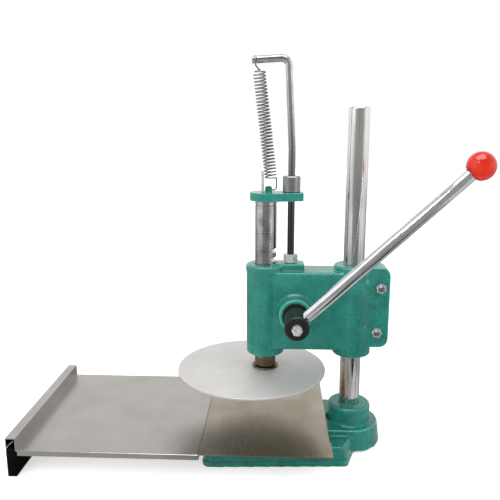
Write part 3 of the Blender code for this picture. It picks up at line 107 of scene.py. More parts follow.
def addNoise(tree, size, detail=3.0, stretch=(1, 1, 1), rough=0.5):
    coords = addNode(tree, "ShaderNodeTexCoord")
    mapping = addNode(tree, "ShaderNodeMapping")
    mapping.inputs["Scale"].default_value = stretch
    noise = addNode(tree, "ShaderNodeTexNoise")
    noise.inputs["Scale"].default_value = 1 / size
    noise.inputs["Detail"].default_value = detail
    noise.inputs["Roughness"].default_value = rough
    tree.links.new(coords.outputs["Object"], mapping.inputs["Vector"])
    tree.links.new(mapping.outputs[0], noise.inputs["Vector"])
    return noise.outputs["Fac"]


def addRamp(tree, value, *stops):
    node = addNode(tree, "ShaderNodeValToRGB")
    ramp = node.color_ramp
    while len(ramp.elements) < len(stops):
        ramp.elements.new(0.5)
    for element, (place, color) in zip(ramp.elements, stops):
        element.position = place
        element.color = (*color, 1)
    tree.links.new(value, node.inputs[0])
    return node.outputs[0]


def addMix(tree, share, first, second, blend="MIX"):
    node = addNode(tree, "ShaderNodeMix", data_type="RGBA", blend_type=blend)
    for socket, value in ((node.inputs[0], share), (node.inputs[6], first), (node.inputs[7], second)):
        if isinstance(value, (int, float)):
            socket.default_value = value
        elif isinstance(value, tuple):
            socket.default_value = (*value, 1)
        else:
            tree.links.new(value, socket)
    return node.outputs[2]


def addBlend(tree, first, firstShare, second, secondShare):
    first = addMath(tree, "MULTIPLY", first, firstShare)
    second = addMath(tree, "MULTIPLY", second, secondShare)
    return addMath(tree, "ADD", first, second)


def addBump(tree, height, depth, strength=1.0, under=None):
    node = addNode(tree, "ShaderNodeBump")
    node.inputs["Distance"].default_value = depth
    node.inputs["Strength"].default_value = strength
    tree.links.new(height, node.inputs["Height"])
    if under:
        tree.links.new(under, node.inputs["Normal"])
    return node.outputs[0]


def placeAlong(tree, axis):
    coords = addNode(tree, "ShaderNodeTexCoord")
    split = addNode(tree, "ShaderNodeSeparateXYZ")
    tree.links.new(coords.outputs["Object"], split.inputs[0])
    return split.outputs[axis]


# Studio: pale floor, soft lights, and cards that only shiny surfaces mirror

studio = {
    "floorColor": (0.86, 0.86, 0.86),
    "floorGlow": 0.55,
    "floorSize": 6,
    "floorLevel": -0.0002,
    "middle": (0.06, 0, 0),
    "skyTop": 0.95,
    "skySide": 0.62,
    "skyLow": 0.30,
    "frontFade": (-0.84, -0.36),
    "topFade": (0.45, 0.85),
    "asideFade": (-0.90, -0.68),
    "backFade": (0.05, 0.50),
    "nearShadeFade": (1.2, 2.6),
    "mirrorBack": 1.0,
    "mirrorFront": 0.34,
    "mirrorTop": 0.55,
    "mirrorSide": 1.05,
    "mirrorFloor": 0.55,
    "mirrorNearShade": 0.58,
}

lamps = {
    "keyLight": {"at": (-1.0, -1.2, 1.1), "aim": (0, 0, 0.15), "size": (1.1, 1.0), "power": 10.0},
    "fillLight": {"at": (1.3, -0.8, 0.9), "aim": (0, 0, 0.2), "size": (0.9, 1.3), "power": 2.6},
    "topLight": {"at": (0.0, 0.3, 1.9), "aim": (0, 0, 0), "size": (1.4, 1.0), "power": 5.0},
}

cards = {
    "blackStrip": {"at": (0.385, -0.36, 0.001), "size": (0.52, 0.20), "turn": (0, 0, -25), "shade": 0.02},
    "greyStrip": {"at": (0.50, 0.02, 0.001), "size": (0.34, 0.50), "turn": (0, 0, 0), "shade": 0.38},
    "softBox": {"at": (-1.15, -0.62, 1.15), "size": (0.75, 0.9), "turn": (53, 0, -62), "shade": 1.5},
    "brightWindow": {"at": (-0.62, -1.05, 1.25), "size": (0.26, 0.30), "turn": (50, 0, -32), "shade": 13.0},
    "topBox": {"at": (0.0, -0.30, 1.7), "size": (1.4, 1.0), "turn": (0, 0, 0), "shade": 6.0},
    "railLeft": {"at": (0.250, -1.30, 0.002), "size": (0.085, 2.1), "turn": (0, 0, 5), "shade": 0.10},
    "railRight": {"at": (0.640, -1.22, 0.002), "size": (0.060, 2.1), "turn": (0, 0, 23), "shade": 0.12},
    "frontGlow": {"at": (-0.10, -0.62, 0.001), "size": (0.30, 0.22), "turn": (0, 0, 0), "shade": 0.9},
}


def addWorld():
    world = bpy.data.worlds.new("studioSky")
    bpy.context.scene.world = world
    world.use_nodes = True
    tree = world.node_tree
    tree.nodes.clear()
    out = addNode(tree, "ShaderNodeOutputWorld")
    coords = addNode(tree, "ShaderNodeTexCoord")
    split = addNode(tree, "ShaderNodeSeparateXYZ")
    tree.links.new(coords.outputs["Generated"], split.inputs[0])
    height = addFade(tree, split.outputs["Z"], -1, 1)
    low, side, top = studio["skyLow"], studio["skySide"], studio["skyTop"]
    light = addRamp(tree, height, (0.30, (low,) * 3), (0.52, (side,) * 3), (1.0, (top,) * 3))
    # What metal and enamel mirror: white behind the press, greyer in front of it and overhead
    behind = addFade(tree, split.outputs["Y"], *studio["frontFade"], studio["mirrorFront"], studio["mirrorBack"])
    above = addFade(tree, split.outputs["Z"], *studio["topFade"], 1.0, studio["mirrorTop"])
    mirrored = addMath(tree, "MULTIPLY", behind, above)
    rays = addNode(tree, "ShaderNodeLightPath")
    glow = addNode(tree, "ShaderNodeBackground")
    shade = addMix(tree, rays.outputs["Is Glossy Ray"], light, mirrored)
    shade = addMix(tree, rays.outputs["Is Transmission Ray"], shade, (1.0, 1.0, 1.0))
    shade = addMix(tree, rays.outputs["Is Camera Ray"], shade, (1.0, 1.0, 1.0))
    tree.links.new(shade, glow.inputs["Color"])
    tree.links.new(glow.outputs[0], out.inputs["Surface"])


def addFloor():
    mesh = bpy.data.meshes.new("studioFloor")
    shape = bmesh.new()
    bmesh.ops.create_grid(shape, x_segments=1, y_segments=1, size=studio["floorSize"])
    shape.to_mesh(mesh)
    shape.free()
    floor = bpy.data.objects.new("studioFloor", mesh)
    floor.location.z = studio["floorLevel"]
    bpy.context.scene.collection.objects.link(floor)
    material = bpy.data.materials.new("paleFloor")
    material.use_nodes = True
    tree = material.node_tree
    shader = tree.nodes["Principled BSDF"]
    shader.inputs["Base Color"].default_value = (*studio["floorColor"], 1)
    shader.inputs["Roughness"].default_value = 0.9
    shader.inputs["Specular IOR Level"].default_value = 0.1
    rays = addNode(tree, "ShaderNodeLightPath")
    glow = addNode(tree, "ShaderNodeEmission")
    strength = addMath(tree, "MULTIPLY", rays.outputs["Is Camera Ray"], studio["floorGlow"])
    tree.links.new(strength, glow.inputs["Strength"])
    lit = addNode(tree, "ShaderNodeAddShader")
    tree.links.new(shader.outputs[0], lit.inputs[0])
    tree.links.new(glow.outputs[0], lit.inputs[1])
    # Mirrored, the floor is dark grey in front of the press, white at its sides and pale grey behind it, with painted
    # shade near the press
    coords = addNode(tree, "ShaderNodeTexCoord")
    flat = addNode(tree, "ShaderNodeMapping", vector_type="POINT")
    flat.inputs["Location"].default_value = [-value for value in studio["middle"]]
    flat.inputs["Scale"].default_value = (1, 1, 0)
    unit = addNode(tree, "ShaderNodeVectorMath", operation="NORMALIZE")
    split = addNode(tree, "ShaderNodeSeparateXYZ")
    tree.links.new(coords.outputs["Object"], flat.inputs["Vector"])
    tree.links.new(flat.outputs[0], unit.inputs[0])
    tree.links.new(unit.outputs[0], split.inputs[0])
    mirrored = addNode(tree, "ShaderNodeEmission")
    aside = addFade(tree, split.outputs["Y"], *studio["asideFade"])
    back = addFade(tree, split.outputs["Y"], *studio["backFade"], studio["mirrorSide"], studio["mirrorFloor"])
    away = addNode(tree, "ShaderNodeVectorMath", operation="LENGTH")
    tree.links.new(flat.outputs[0], away.inputs[0])
    nearShade = addFade(tree, away.outputs["Value"], *studio["nearShadeFade"], studio["mirrorNearShade"], 1.0)
    light = addMath(tree, "ADD", addMath(tree, "MULTIPLY", back, nearShade), -studio["mirrorFront"])
    shade = addMath(tree, "ADD", addMath(tree, "MULTIPLY", aside, light), studio["mirrorFront"])
    tree.links.new(shade, mirrored.inputs["Color"])
    mix = addNode(tree, "ShaderNodeMixShader")
    tree.links.new(rays.outputs["Is Glossy Ray"], mix.inputs[0])
    tree.links.new(lit.outputs[0], mix.inputs[1])
    tree.links.new(mirrored.outputs[0], mix.inputs[2])
    tree.links.new(mix.outputs[0], tree.nodes["Material Output"].inputs["Surface"])
    mesh.materials.append(material)


def addSoftLight(name, values):
    data = bpy.data.lights.new(name, "AREA")
    data.shape = "RECTANGLE"
    data.size, data.size_y = values["size"]
    data.energy = values["power"]
    lamp = bpy.data.objects.new(name, data)
    lamp.location = values["at"]
    lamp.rotation_euler = (Vector(values["aim"]) - Vector(values["at"])).to_track_quat("-Z", "Y").to_euler()
    lamp.visible_glossy = False
    bpy.context.scene.collection.objects.link(lamp)


def addCard(name, values):
    mesh = bpy.data.meshes.new(name)
    shape = bmesh.new()
    bmesh.ops.create_grid(shape, x_segments=1, y_segments=1, size=0.5)
    bmesh.ops.scale(shape, vec=(*values["size"], 1), verts=shape.verts)
    shape.to_mesh(mesh)
    shape.free()
    card = bpy.data.objects.new(name, mesh)
    card.location = values["at"]
    card.rotation_euler = [math.radians(turn) for turn in values["turn"]]
    bpy.context.scene.collection.objects.link(card)
    card.visible_camera = False
    card.visible_diffuse = False
    card.visible_transmission = False
    card.visible_volume_scatter = False
    card.visible_shadow = False
    material = bpy.data.materials.new(name)
    material.use_nodes = True
    tree = material.node_tree
    tree.nodes.remove(tree.nodes["Principled BSDF"])
    glow = addNode(tree, "ShaderNodeEmission")
    glow.inputs["Strength"].default_value = values["shade"]
    tree.links.new(glow.outputs[0], tree.nodes["Material Output"].inputs["Surface"])
    mesh.materials.append(material)


def lightStudio():
    addWorld()
    addFloor()
    for name, values in lamps.items():
        addSoftLight(name, values)
    for name, values in cards.items():
        addCard(name, values)
    print("studio lit")


# Finishes

finishes = {}


def newFinish(name, metallic=0.0, roughness=0.4, **sockets):
    material = bpy.data.materials.new(name)
    material.use_nodes = True
    shader = material.node_tree.nodes["Principled BSDF"]
    shader.inputs["Metallic"].default_value = metallic
    shader.inputs["Roughness"].default_value = roughness
    for socket, value in sockets.items():
        shader.inputs[socket.replace("_", " ")].default_value = value
    finishes[name] = material
    return material.node_tree, shader


enamel = {
    "deep": (0.010, 0.162, 0.129),
    "body": (0.014, 0.222, 0.177),
    "paleTone": (0.105, 0.500, 0.405),
    "pit": (0.006, 0.105, 0.085),
    "cloud": 0.022,
    "dimple": 0.0026,
    "dimpleDepth": 0.00040,
    "speckFade": (0.50, 0.70, 0.0, 0.12),
    "pitFade": (0.34, 0.46, 0.30, 0.0),
    # Painted highlight towards the castings' top and on the pinion's boss
    "paintedHighlightHeight": (0.215, 0.275, 0.0, 0.10),
    "bossFront": (-0.042, -0.029, 0.30, 0.0),
    "bossHeight": (0.165, 0.175),
    # Painted highlight on convex edges, painted shade in concave corners
    "convexFade": (0.507, 0.548, 0.0, 0.85),
    "concaveFade": (0.41, 0.48, 0.75, 0.0),
    "roughness": (0.3, 0.7, 0.12, 0.29),
    "wear": 0.009,
    "peel": 0.0013,
    "peelDepth": 0.00004,
}


def makeEnamel():
    tree, shader = newFinish("greenEnamel", Specular_IOR_Level=0.36, Coat_Weight=0.25, Coat_Roughness=0.06)
    cloud = addNoise(tree, enamel["cloud"], 4)
    color = addRamp(tree, cloud, (0.36, enamel["deep"]), (0.60, enamel["body"]))
    dimples = addNoise(tree, enamel["dimple"], 1.5)
    color = addMix(tree, addFade(tree, dimples, *enamel["speckFade"]), color, enamel["paleTone"])
    color = addMix(tree, addFade(tree, dimples, *enamel["pitFade"]), color, enamel["pit"])
    # Painted highlight: towards the top of the castings and on the pinion's boss the enamel is a little lighter
    paintedHighlight = addFade(tree, placeAlong(tree, "Z"), *enamel["paintedHighlightHeight"])
    boss = addFade(tree, placeAlong(tree, "Y"), *enamel["bossFront"])
    high = addFade(tree, placeAlong(tree, "Z"), *enamel["bossHeight"])
    paintedHighlight = addMath(tree, "MAXIMUM", paintedHighlight, addMath(tree, "MULTIPLY", boss, high))
    color = addMix(tree, paintedHighlight, color, enamel["paleTone"])
    # Painted highlight along convex edges and painted shade in the corners, both from pointiness
    edges = addNode(tree, "ShaderNodeNewGeometry")
    paleTone = addFade(tree, edges.outputs["Pointiness"], *enamel["convexFade"])
    color = addMix(tree, paleTone, color, enamel["paleTone"])
    cornerShade = addFade(tree, edges.outputs["Pointiness"], *enamel["concaveFade"])
    color = addMix(tree, cornerShade, color, enamel["deep"])
    tree.links.new(color, shader.inputs["Base Color"])
    worn = addNoise(tree, enamel["wear"], 3)
    tree.links.new(addFade(tree, worn, *enamel["roughness"]), shader.inputs["Roughness"])
    peel = addNoise(tree, enamel["peel"], 2)
    height = addBump(tree, dimples, enamel["dimpleDepth"])
    tree.links.new(addBump(tree, peel, enamel["peelDepth"], 0.6, height), shader.inputs["Normal"])


sheets = {
    "tray": {"light": (0.475, 0.452, 0.432), "dark": (0.430, 0.408, 0.386), "grain": (1, 0.02, 1),
             "roughness": 0.26, "metallic": 1.0},
    "plate": {"light": (0.420, 0.388, 0.325), "dark": (0.330, 0.296, 0.232), "grain": (1, 0.02, 1),
              "roughness": 0.24, "metallic": 1.0},
    "disc": {"light": (0.640, 0.622, 0.608), "dark": (0.560, 0.543, 0.530), "grain": (0.03, 1, 1),
             "roughness": 0.46, "metallic": 0.5},
}

brushed = {"grain": 0.0011, "grainShare": 0.35, "grainDepth": 0.000005, "smudge": 0.045, "smudgeShare": 0.65}


def makeSheet(name, values, patch=None):
    tree, shader = newFinish(name, metallic=values["metallic"])
    grain = addNoise(tree, brushed["grain"], 4, values["grain"], 0.65)
    smudge = addNoise(tree, brushed["smudge"], 2, rough=0.4)
    mixed = addBlend(tree, grain, brushed["grainShare"], smudge, brushed["smudgeShare"])
    color = addRamp(tree, mixed, (0.34, values["dark"]), (0.66, values["light"]))
    if patch:
        # Distance from the patch's middle, squared, in shares of its reach
        across = addMath(tree, "ADD", placeAlong(tree, "X"), -patch["x"])
        across = addMath(tree, "MULTIPLY", across, 1 / patch["across"])
        along = addMath(tree, "ADD", placeAlong(tree, "Y"), -patch["y"])
        along = addMath(tree, "MULTIPLY", along, 1 / patch["along"])
        away = addMath(tree, "ADD", addMath(tree, "MULTIPLY", across, across), addMath(tree, "MULTIPLY", along, along))
        worn = addNoise(tree, 0.006, 4, (1, 0.05, 1), 0.6)
        away = addMath(tree, "ADD", away, addMath(tree, "MULTIPLY", worn, 0.3))
        color = addMix(tree, addFade(tree, away, 0.2, 1.6, patch["share"], 0.0), color, patch["color"])
    tree.links.new(color, shader.inputs["Base Color"])
    rough = addFade(tree, mixed, 0.25, 0.75, values["roughness"] + 0.07, values["roughness"] - 0.02)
    tree.links.new(rough, shader.inputs["Roughness"])
    tree.links.new(addBump(tree, grain, brushed["grainDepth"], 0.3), shader.inputs["Normal"])


plateStain = {"x": 0.020, "y": -0.090, "across": 0.080, "along": 0.14,
              "share": 0.58, "color": (0.235, 0.200, 0.142)}
# A darker patch near the tray's left front
trayDarkPatch = {"x": -0.095, "y": -0.100, "across": 0.045, "along": 0.055,
             "share": 0.6, "color": (0.280, 0.262, 0.230)}

steels = {
    "columnSteel": {"light": (0.84, 0.83, 0.80), "dark": (0.72, 0.715, 0.70), "lines": (0.04, 0.04, 1),
                    "roughness": 0.10, "paintedStreakColor": (0.34, 0.335, 0.33)},
    "ramSteel": {"light": (0.52, 0.51, 0.50), "dark": (0.27, 0.265, 0.26), "lines": (0.04, 0.04, 1), "roughness": 0.11},
    "springSteel": {"light": (0.33, 0.33, 0.335), "dark": (0.22, 0.22, 0.225), "lines": (1, 1, 1), "roughness": 0.40},
    "collarSteel": {"light": (0.42, 0.43, 0.415), "dark": (0.30, 0.31, 0.30), "lines": (0.04, 0.04, 1),
                    "roughness": 0.34},
    "rodSteel": {"light": (0.82, 0.83, 0.85), "dark": (0.62, 0.63, 0.64), "lines": (0.06, 0.06, 1), "roughness": 0.12},
    "threadSteel": {"light": (0.48, 0.48, 0.48), "dark": (0.28, 0.28, 0.28), "lines": (1, 1, 1), "roughness": 0.35},
    "hardSteel": {"light": (0.58, 0.58, 0.57), "dark": (0.42, 0.42, 0.41), "lines": (1, 0.05, 1), "roughness": 0.28},
}


machined = {"lines": 0.0007, "linesShare": 0.35, "linesDepth": 0.000012, "smudge": 0.012, "smudgeShare": 0.65,
            "drawn": 0.0026, "drawnStretch": (1, 1, 0.015), "drawnFade": (0.50, 0.66, 0.0, 0.6)}


def makeSteel(name, values, lowBrown=None, shadeBands=()):
    tree, shader = newFinish(name, metallic=1.0)
    lines = addNoise(tree, machined["lines"], 3, values["lines"], 0.6)
    smudge = addNoise(tree, machined["smudge"], 4, (1, 1, 0.6))
    mixed = addBlend(tree, lines, machined["linesShare"], smudge, machined["smudgeShare"])
    color = addRamp(tree, mixed, (0.36, values["dark"]), (0.58, values["light"]))
    rough = addFade(tree, mixed, 0.3, 0.7, values["roughness"] + 0.10, values["roughness"] - 0.04)
    # Painted reflection: long dark streaks down the column
    if "paintedStreakColor" in values:
        drawn = addNoise(tree, machined["drawn"], 2, machined["drawnStretch"])
        color = addMix(tree, addFade(tree, drawn, *machined["drawnFade"]), color, values["paintedStreakColor"])
    # Painted shade in bands along the height
    for shadeBand in shadeBands:
        rise = addFade(tree, placeAlong(tree, "Z"), *shadeBand["rise"], 0.0, shadeBand["share"])
        fall = addFade(tree, placeAlong(tree, "Z"), *shadeBand["fall"], 1.0, 0.0)
        color = addMix(tree, addMath(tree, "MULTIPLY", rise, fall), color, shadeBand["color"])
    # Darker brown towards the bottom, with a ragged edge
    if lowBrown:
        spots = addMath(tree, "MULTIPLY", addNoise(tree, lowBrown["spots"], 4), lowBrown["ragged"])
        level = addMath(tree, "ADD", placeAlong(tree, "Z"), spots)
        share = addFade(tree, level, lowBrown["full"], lowBrown["clean"], lowBrown["share"], 0.0)
        color = addMix(tree, share, color, lowBrown["color"])
        rough = addMath(tree, "ADD", rough, addMath(tree, "MULTIPLY", share, lowBrown["rougher"]))
    tree.links.new(color, shader.inputs["Base Color"])
    tree.links.new(rough, shader.inputs["Roughness"])
    tree.links.new(addBump(tree, lines, machined["linesDepth"], 0.5), shader.inputs["Normal"])


# The ram's bottom and the disc hub are darker brown towards the bottom
ramLowBrown = {"full": 0.138, "clean": 0.156, "share": 0.93, "color": (0.120, 0.095, 0.050),
           "spots": 0.004, "ragged": 0.016, "rougher": 0.30}
# Painted shade: the guide rod is darker towards its nut and along the top of its arm, the column just above the head
rodShadeBands = [
    {"rise": (0, 0.1), "fall": (0.34, 0.59), "share": 0.96, "color": (0.052, 0.050, 0.050)},
    {"rise": (0.556, 0.564), "fall": (0.7, 0.8), "share": 0.75, "color": (0.13, 0.135, 0.15)},
]
columnShadeBands = [{"rise": (0.18, 0.24), "fall": (0.36, 0.47), "share": 0.5, "color": (0.42, 0.44, 0.46)}]


def makeChrome():
    tree, shader = newFinish("leverChrome", metallic=1.0)
    smudge = addNoise(tree, 0.010, 4)
    color = addRamp(tree, smudge, (0.35, (0.72, 0.73, 0.745)), (0.6, (0.81, 0.82, 0.835)))
    tree.links.new(color, shader.inputs["Base Color"])
    tree.links.new(addFade(tree, smudge, 0.35, 0.7, 0.05, 0.13), shader.inputs["Roughness"])
    fine = addNoise(tree, 0.003, 2)
    tree.links.new(addBump(tree, fine, 0.000006, 0.5), shader.inputs["Normal"])


zinc = {"light": (0.90, 0.91, 0.92), "dark": (0.62, 0.625, 0.63), "roughness": 0.20}


def makeZinc():
    tree, shader = newFinish("zincPlate", metallic=0.72)
    cloud = addNoise(tree, 0.0026, 4)
    color = addRamp(tree, cloud, (0.34, zinc["dark"]), (0.58, zinc["light"]))
    edges = addNode(tree, "ShaderNodeNewGeometry")
    rim = addFade(tree, edges.outputs["Pointiness"], 0.52, 0.60, 0.0, 0.6)
    tree.links.new(addMix(tree, rim, color, (0.80, 0.80, 0.80)), shader.inputs["Base Color"])
    rough = addFade(tree, cloud, 0.3, 0.7, zinc["roughness"] + 0.12, zinc["roughness"] - 0.06)
    tree.links.new(rough, shader.inputs["Roughness"])
    tree.links.new(addBump(tree, cloud, 0.00003, 0.5), shader.inputs["Normal"])


def makeBronze():
    tree, shader = newFinish("bushBronze", metallic=1.0)
    lines = addNoise(tree, 0.0012, 3, (1, 0.05, 1))
    color = addRamp(tree, lines, (0.35, (0.36, 0.22, 0.08)), (0.62, (0.60, 0.41, 0.19)))
    tree.links.new(color, shader.inputs["Base Color"])
    tree.links.new(addFade(tree, lines, 0.3, 0.7, 0.42, 0.28), shader.inputs["Roughness"])
    tree.links.new(addBump(tree, lines, 0.00002, 0.5), shader.inputs["Normal"])


def makeBlackOxide():
    tree, shader = newFinish("blackOxide", Specular_IOR_Level=0.26, Coat_Weight=0.05, Coat_Roughness=0.12)
    speckle = addNoise(tree, 0.0011, 3)
    color = addRamp(tree, speckle, (0.42, (0.006, 0.006, 0.006)), (0.70, (0.024, 0.023, 0.023)))
    edges = addNode(tree, "ShaderNodeNewGeometry")
    worn = addFade(tree, edges.outputs["Pointiness"], 0.53, 0.62, 0.0, 0.35)
    tree.links.new(addMix(tree, worn, color, (0.16, 0.16, 0.155)), shader.inputs["Base Color"])
    tree.links.new(addFade(tree, speckle, 0.35, 0.7, 0.28, 0.50), shader.inputs["Roughness"])
    tree.links.new(addBump(tree, speckle, 0.00005, 0.6), shader.inputs["Normal"])


def makeFootBlack():
    tree, shader = newFinish("footBlack", Specular_IOR_Level=0.01)
    grain = addNoise(tree, 0.0016, 3)
    scuff = addNoise(tree, 0.02, 4, (1, 0.25, 1))
    color = addRamp(tree, scuff, (0.40, (0.004, 0.004, 0.004)), (0.68, (0.010, 0.010, 0.010)))
    tree.links.new(color, shader.inputs["Base Color"])
    tree.links.new(addFade(tree, scuff, 0.3, 0.7, 0.75, 0.60), shader.inputs["Roughness"])
    tree.links.new(addBump(tree, grain, 0.00006, 0.5), shader.inputs["Normal"])


def makeKnobGloss():
    tree, shader = newFinish("orangeKnob", Specular_IOR_Level=0.34, Coat_Weight=0.3, Coat_Roughness=0.04)
    cloud = addNoise(tree, 0.014, 3)
    color = addRamp(tree, cloud, (0.35, (0.60, 0.014, 0.002)), (0.62, (0.74, 0.026, 0.004)))
    tree.links.new(color, shader.inputs["Base Color"])
    tree.links.new(addFade(tree, cloud, 0.3, 0.7, 0.10, 0.20), shader.inputs["Roughness"])
    fine = addNoise(tree, 0.0035, 2)
    tree.links.new(addBump(tree, fine, 0.00001, 0.5), shader.inputs["Normal"])


def makeFinishes():
    makeEnamel()
    makeSheet("traySheet", sheets["tray"], trayDarkPatch)
    makeSheet("plateSheet", sheets["plate"], plateStain)
    makeSheet("discSheet", sheets["disc"])
    makeSteel("columnSteel", steels["columnSteel"], shadeBands=columnShadeBands)
    makeSteel("ramSteel", steels["ramSteel"], lowBrown=ramLowBrown)
    makeSteel("collarSteel", steels["collarSteel"])
    makeSteel("rodSteel", steels["rodSteel"], shadeBands=rodShadeBands)
    makeSteel("hardSteel", steels["hardSteel"])
    makeSteel("springSteel", steels["springSteel"])
    makeSteel("threadSteel", steels["threadSteel"])
    makeChrome()
    makeZinc()
    makeBronze()
    makeBlackOxide()
    makeFootBlack()
    makeKnobGloss()
    print("finishes made")


# Finish of each CAD node, which a finer piece takes over with it

finishOf = {
    "base_casting": "greenEnamel",
    "head_casting": "greenEnamel",
    "rear_cover": "greenEnamel",
    "crosshead": "greenEnamel",
    "lower_plate": "plateSheet",
    "tray": "traySheet",
    "press_disc": "discSheet",
    "column": "columnSteel",
    "ram": "ramSteel",
    "stop_collar": "collarSteel",
    "guide_rod": "rodSteel",
    "return_spring": "springSteel",
    "disc_hub": "ramSteel",
    "disc_pin": "ramSteel",
    "pinion_shaft": "hardSteel",
    "hub_key": "hardSteel",
    "lever_rod": "leverChrome",
    "front_bush": "bushBronze",
    "rear_bush": "bushBronze",
    "stop_collar_screw": "blackOxide",
    "lever_hub": "blackOxide",
    "tray_foot": "footBlack",
    "lever_knob": "orangeKnob",
}


def paintNodes():
    for entry in frame["record"]["subparts"]:
        node = frame["nodes"][entry["node"]]
        node.data.materials.clear()
        node.data.materials.append(finishes[finishOf.get(entry["node"], "zincPlate")])
    print("nodes painted")


# Piece helpers

bodyOf = {node: body for body, nodes in frame["record"]["behaviour"]["bodies"].items() for node in nodes}


def shadeEdges(shape, sharp):
    for face in shape.faces:
        face.smooth = True
    for edge in shape.edges:
        edge.smooth = len(edge.link_faces) == 2 and edge.calc_face_angle(0) < math.radians(sharp)


def addPiece(name, shape, node, sharp=35, second=None, body=True):
    shadeEdges(shape, sharp)
    mesh = bpy.data.meshes.new(name)
    shape.to_mesh(mesh)
    shape.free()
    mesh.materials.append(finishes[finishOf.get(node, "zincPlate")])
    if second:
        mesh.materials.append(finishes[second])
    piece = bpy.data.objects.new(name, mesh)
    bpy.context.scene.collection.objects.link(piece)
    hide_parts(node)
    if body:
        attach(piece, bodyOf[node])
    return piece


def nodeCopy(node):
    shape = bmesh.new()
    shape.from_mesh(frame["nodes"][node].data)
    bmesh.ops.remove_doubles(shape, verts=shape.verts, dist=0.000004)
    return shape


def softenEdges(shape, width, segments=2, angle=30):
    edges = [edge for edge in shape.edges
             if len(edge.link_faces) == 2 and edge.calc_face_angle(0) > math.radians(angle)]
    bmesh.ops.bevel(shape, geom=edges, offset=width, offset_type="OFFSET", segments=segments,
                    profile=0.5, affect="EDGES", clamp_overlap=True, material=-1)


def softCopy(node, width, segments=2, angle=30, fold=None):
    shape = nodeCopy(node)
    bmesh.ops.dissolve_limit(shape, angle_limit=math.radians(0.6), use_dissolve_boundaries=False,
                             verts=shape.verts, edges=shape.edges, delimit={"NORMAL"})
    if fold:
        # The long folds get the sheet's real bend
        level, side, radius = fold
        edges = [edge for edge in shape.edges
                 if all(abs(end.co.z - level) < 0.0001 and abs(abs(end.co.y) - side) < 0.0001 for end in edge.verts)]
        bmesh.ops.bevel(shape, geom=edges, offset=radius, offset_type="OFFSET", segments=4,
                        profile=0.5, affect="EDGES", clamp_overlap=True, material=-1)
    softenEdges(shape, width, segments, angle)
    return shape


def turned(profile, steps=96):
    shape = bmesh.new()
    chain = [shape.verts.new((radius, 0, height)) for radius, height in profile]
    edges = [shape.edges.new(pair) for pair in zip(chain, chain[1:])]
    bmesh.ops.spin(shape, geom=chain + edges, cent=(0, 0, 0), axis=(0, 0, 1), angle=math.tau,
                   steps=steps, use_merge=True)
    bmesh.ops.remove_doubles(shape, verts=shape.verts, dist=0.000001)
    bmesh.ops.recalc_face_normals(shape, faces=shape.faces)
    return shape


def moveTo(shape, place, turn=None):
    matrix = Matrix.Translation(place)
    if turn:
        matrix = matrix @ turn
    bmesh.ops.transform(shape, matrix=matrix, verts=shape.verts)
    return shape


def withModifiers(shape, *steps):
    mesh = bpy.data.meshes.new("work")
    shape.to_mesh(mesh)
    shape.free()
    work = bpy.data.objects.new("work", mesh)
    bpy.context.scene.collection.objects.link(work)
    for kind, values in steps:
        modifier = work.modifiers.new(kind, kind)
        for key, value in values.items():
            setattr(modifier, key, value)
    bpy.context.view_layer.update()
    made = bpy.data.meshes.new_from_object(work.evaluated_get(bpy.context.evaluated_depsgraph_get()))
    result = bmesh.new()
    result.from_mesh(made)
    bpy.data.objects.remove(work)
    bpy.data.meshes.remove(mesh)
    bpy.data.meshes.remove(made)
    return result


def combined(shape, cutter, operation):
    mesh = bpy.data.meshes.new("cutter")
    cutter.to_mesh(mesh)
    cutter.free()
    tool = bpy.data.objects.new("cutter", mesh)
    bpy.context.scene.collection.objects.link(tool)
    result = withModifiers(shape, ("BOOLEAN", {"object": tool, "operation": operation, "solver": "EXACT"}))
    bpy.data.objects.remove(tool)
    bpy.data.meshes.remove(mesh)
    return result


def towards(direction):
    return Vector(direction).to_track_quat("Z", "Y").to_matrix().to_4x4()


# Castings: the CAD solid's skin, rounded in every corner as enamelled iron is

castings = {
    "head_casting": {"name": "headShell", "voxel": 0.00092, "smooth": 3, "faces": 190000},
    "base_casting": {"name": "baseShell", "voxel": 0.00115, "smooth": 2, "faces": 190000},
    "crosshead": {"name": "crossheadShell", "voxel": 0.00050, "smooth": 2, "faces": 90000},
    "rear_cover": {"name": "coverShell", "voxel": 0.00060, "smooth": 2, "faces": 60000},
}


def makeCastings():
    for node, values in castings.items():
        shape = withModifiers(
            nodeCopy(node),
            ("REMESH", {"mode": "VOXEL", "voxel_size": values["voxel"]}),
            ("SMOOTH", {"factor": 0.5, "iterations": values["smooth"]}),
        )
        triangles = 2 * len(shape.faces)
        if triangles > values["faces"]:
            shape = withModifiers(shape, ("DECIMATE", {"ratio": values["faces"] / triangles}))
        print(values["name"], triangles, "triangles before thinning")
        addPiece(values["name"], shape, node, sharp=60)


# Column: turned bar with a chamfer and a centre hole

column = {"x": 0.1278, "radius": 0.015, "bottom": 0.008, "top": 0.4965, "chamfer": 0.0015,
          "hole": 0.0028, "holeDepth": 0.006}


def makeColumn():
    c = column
    profile = [
        (0, c["bottom"]), (c["radius"] - c["chamfer"], c["bottom"]), (c["radius"], c["bottom"] + c["chamfer"]),
        (c["radius"], c["top"] - c["chamfer"]), (c["radius"] - c["chamfer"], c["top"]),
        (c["hole"] + 0.0008, c["top"]), (c["hole"], c["top"] - 0.0008),
        (c["hole"], c["top"] - c["holeDepth"]), (0, c["top"] - c["holeDepth"] - 0.0012),
    ]
    shape = turned(profile, 112)
    softenEdges(shape, 0.0003, 2, 25)
    addPiece("columnBar", moveTo(shape, (c["x"], 0, 0)), "column")


# Ram: turned bar with a rack of trapezoid notches down its right side

ram = {
    "radius": 0.0155, "bottom": 0.1192, "top": 0.3670, "neck": 0.012, "neckTop": 0.3730, "chamfer": 0.001,
    "groove": (0.3610, 0.0016, 0.0009), "mark": (0.3212, 0.0008, 0.0004),
    "hole": 0.0103, "holeDepth": 0.0163,
    "pitch": 0.012566, "topNotch": 0.2951, "notches": 9, "root": 0.0083, "pitchLine": 0.0133, "flank": 20,
}


